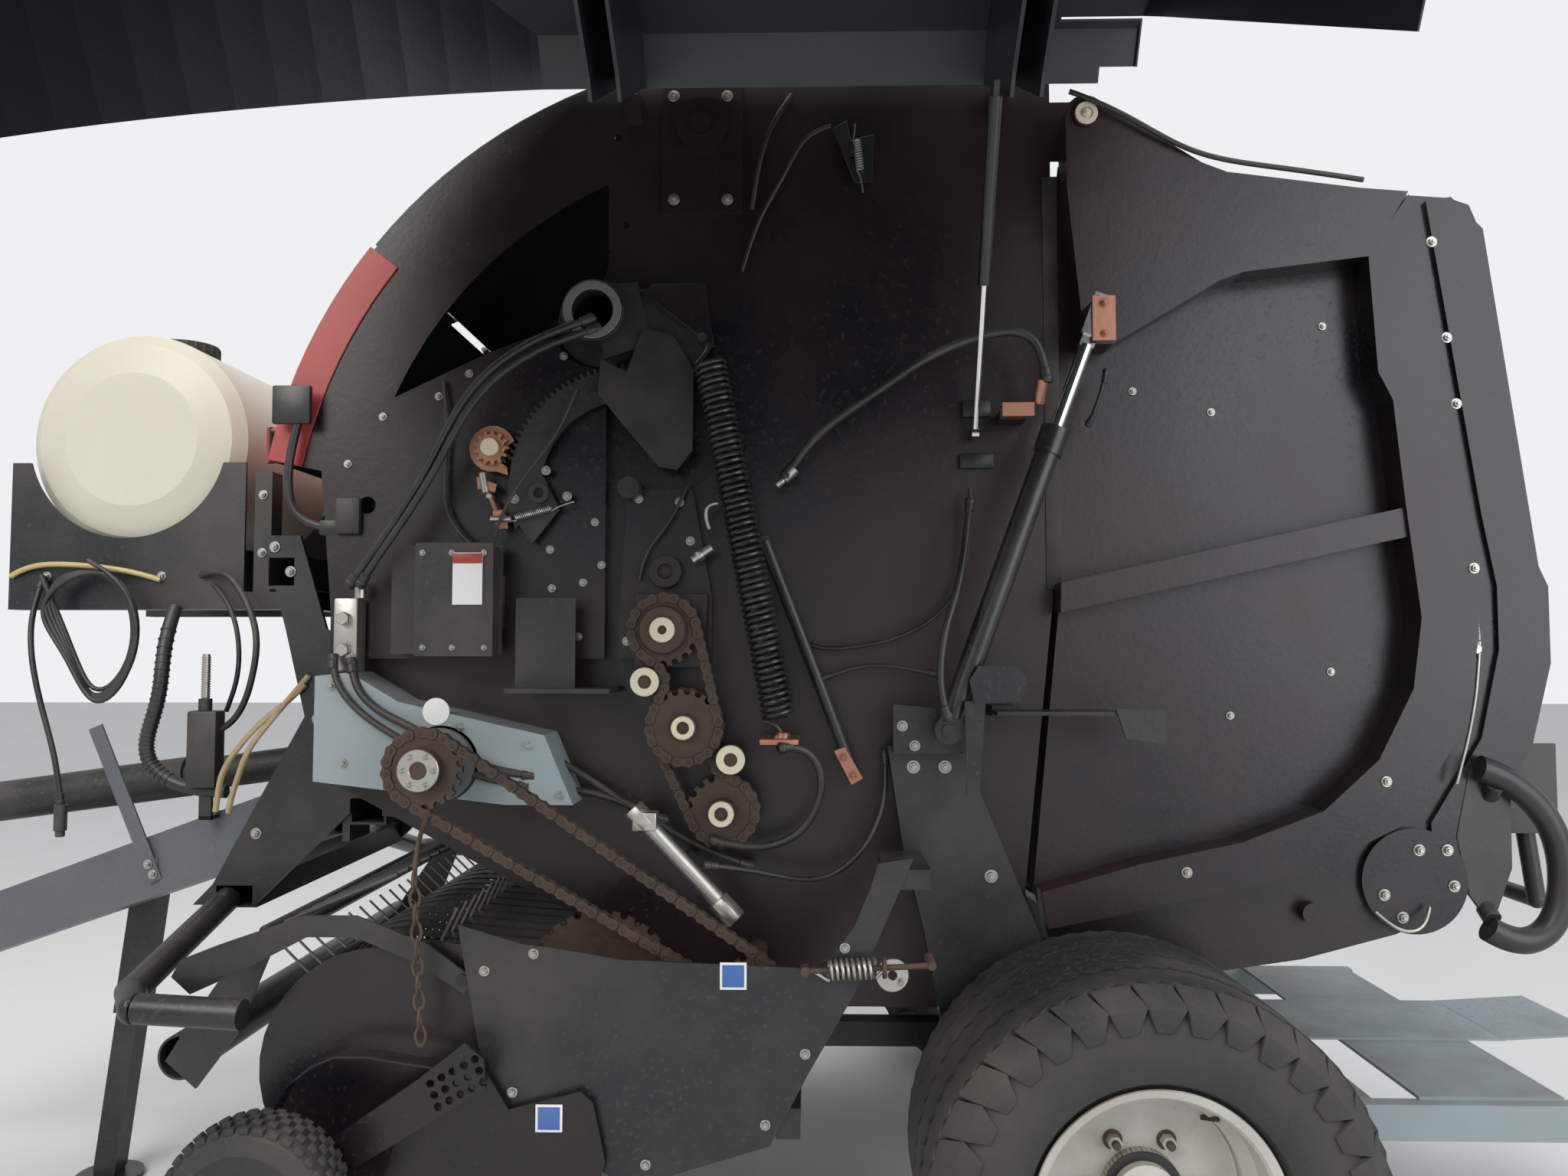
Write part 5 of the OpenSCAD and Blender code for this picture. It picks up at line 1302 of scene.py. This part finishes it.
# %% Pivot cap and clamps
join("pivot_cap", [drum((0, -700.4, 2670), (0, -706, 2670), 26, 14)] + bolt(0, -700.4, 2670, 10), "cream",
     "chassis")
clamps = [block((-276, -622, 1990), (-210, -608.3, 2030), 3),
          block((-283, -622, 1870), (-205, -608.3, 1904), 3)]
join("strut_clamps", clamps, "frame", "chassis")
print("cap and clamps done")


# %% [markdown]
# ### Lift chain of the pickup
# A short rusty chain hangs from a bent hook beside the gearbox. Its links are
# rounded loops, and every second one is turned by a quarter.

# %% Lift chain
chain_links = []
for k in range(10):
    x, z, wide, deep = -1425 + 2 * k, 986 - 34 * k, 11 * (k % 2), 11 * ((k + 1) % 2)
    chain_links.append(pipe([(x, -960, z + 22), (x + wide, -960 - deep, z + 12),
                       (x + wide, -960 - deep, z - 12), (x, -960, z - 22), (x - wide, -960 + deep, z - 12),
                       (x - wide, -960 + deep, z + 12), (x, -960, z + 22)], 3.4, True, 2))
chain_links.append(pipe([(-1425, -958, 1000), (-1427, -950, 1040), (-1430, -900, 1090), (-1432, -820, 1130),
                   (-1432, -744, 1150)], 5))
join("lift_chain", chain_links, "rusty", "chassis")
print("fittings done")


# %% [markdown]
# ## Edge skirts of the front door
# The red door wraps round the hood's edge, so a red band shows from the side.
# Each skirt is a ring sector about the hood's centre, outside the side wall,
# and it rides on the door. A rubber strip closes the slit before the tailgate.

# %% Door skirts and gap seals
HOOD = (-707, 1653)
angles = [math.radians(142 + 2.65 * k) for k in range(11)]
sector = [(HOOD[0] + 1224 * math.cos(a), HOOD[1] + 1224 * math.sin(a)) for a in angles]
sector += [(HOOD[0] + 1140 * math.cos(a), HOOD[1] + 1140 * math.sin(a)) for a in reversed(angles)]
join("door_skirts", [plate(sector, y, 4, 1.5) for y in (WALL_Y - 0.3, 4.3 - WALL_Y)], "red", "front_door")
seals = [block((-84, y, 1590), (-50, y + 3, 2560), 0.5) for y in (WALL_Y - 3.3, 0.3 - WALL_Y)]
join("gap_seals", seals, "belt", "chassis")
print("skirts done")


# %% [markdown]
# ## Pickup tines
# The reel carries spring tines: straight legs that start in a small coil on
# the bar. The CAD reel keeps its bars and thin legs; coils are added on them.

# %% Tine coils
REEL = (-1520, 590)
coils = []
for i in range(23):
    y = (i - 11) * 70
    for k in range(5):
        a = math.radians(72 * k)
        x, z = REEL[0] + 135 * math.cos(a), REEL[1] - 135 * math.sin(a)
        coils.append(drum((x, y - 12, z), (x, y + 12, z), 20, 14.4, 16, 0))
join("tine_coils", coils, "tine", "tine_reel")
print("tine coils:", len(coils))


# %% [markdown]
# ## Cap of the tank
# The filler cap has grips all round, so that a hand in a glove can turn it, and
# a flat disc on top. Small drums stand in a circle of 24 round the plain CAD
# cap.

# %% Tank cap
ribs = [drum((TANK_X, 0, 2330), (TANK_X, 0, 2333), 70, sides=48)]
for k in range(24):
    a = 2 * math.pi * k / 24
    x, y = TANK_X + 88 * math.cos(a), 88 * math.sin(a)
    ribs.append(drum((x, y, 2298), (x, y, 2326), 4, sides=10, soft=0.8))
join("cap_grips", ribs, "black", "chassis")
print("cap done")


# %% [markdown]
# ## Floor, light and camera
# The studio is a pale floor with a large soft key from the front left, a fill
# and a gentle sky. The background is pale to the camera, and darker to
# reflections, so black paint keeps its contrast.

# %% Floor
fresh()
bpy.ops.mesh.primitive_plane_add(size=60, location=(0, 0, 0))
floor = bpy.context.object
floor.name = "floor"
ground = finish("floor_paint", (0.66, 0.66, 0.65), (0.58, 0.58, 0.56), 0.15, 0.6, 0.8, 0.0, 0.02)
floor.data.materials.append(ground)
print("floor laid")


# %% [markdown]
# ### Sky
# The world is one even colour. A light path gives the camera a paler one, so the
# backdrop stays bright while the black paint isn't washed out.

# %% Sky
world = bpy.data.worlds.new("studio")
bpy.context.scene.world = world
world.use_nodes = True
wn, wl = world.node_tree.nodes, world.node_tree.links.new
back = wn["Background"]
back.inputs["Color"].default_value = (0.82, 0.84, 0.87, 1)
back.inputs["Strength"].default_value = 0.80
shown = wn.new("ShaderNodeBackground")
shown.inputs["Color"].default_value = (0.86, 0.87, 0.89, 1)
shown.inputs["Strength"].default_value = 1.0
path, pick = wn.new("ShaderNodeLightPath"), wn.new("ShaderNodeMixShader")
wl(path.outputs["Is Camera Ray"], pick.inputs["Fac"])
wl(back.outputs[0], pick.inputs[1])
wl(shown.outputs[0], pick.inputs[2])
wl(pick.outputs[0], wn["World Output"].inputs["Surface"])
print("sky made")


# %% [markdown]
# ### Lamps
# Three round area lamps light the machine: a key from the front left, a fill
# from the rear and one from above. Large lamps give soft shadow edges.

# %% Lamps
def lamp(name, place, aim, size, watts, colour):
    fresh()
    bpy.ops.object.light_add(type="AREA", location=at(*place))
    light = bpy.context.object
    light.name = name
    light.data.shape, light.data.size, light.data.energy = "DISK", size, watts
    light.data.color = colour
    light.rotation_euler = (at(*aim) - at(*place)).to_track_quat("-Z", "Y").to_euler()
    return light


lamp("key", (-3200, -5200, 5200), (-300, 0, 1200), 4.5, 330, (1.0, 0.98, 0.95))
lamp("fill", (3600, -4600, 2600), (0, 0, 1200), 5.0, 170, (0.93, 0.96, 1.0))
lamp("top", (0, 600, 6200), (0, 0, 1500), 6.0, 170, (1.0, 1.0, 1.0))
print("lamps placed")


# %% [markdown]
# ### Camera
# The camera stands where the photographer stood: chest high, a little left of
# the middle, looking slightly up through a wide lens.

# %% Camera
fresh()
CAMERA_AT = (-626.2, -3336.2, 1447.9)
bpy.ops.object.camera_add(location=at(*CAMERA_AT))
camera = bpy.context.object
YAW, PITCH = 1.341, 3.051
camera.rotation_euler = (math.radians(90 + PITCH), 0, math.radians(YAW))
camera.data.lens, camera.data.sensor_width = 27.04, 36
scene = bpy.context.scene
scene.camera = camera
scene.view_settings.view_transform = "Standard"
print("camera at", [round(c, 3) for c in camera.location])
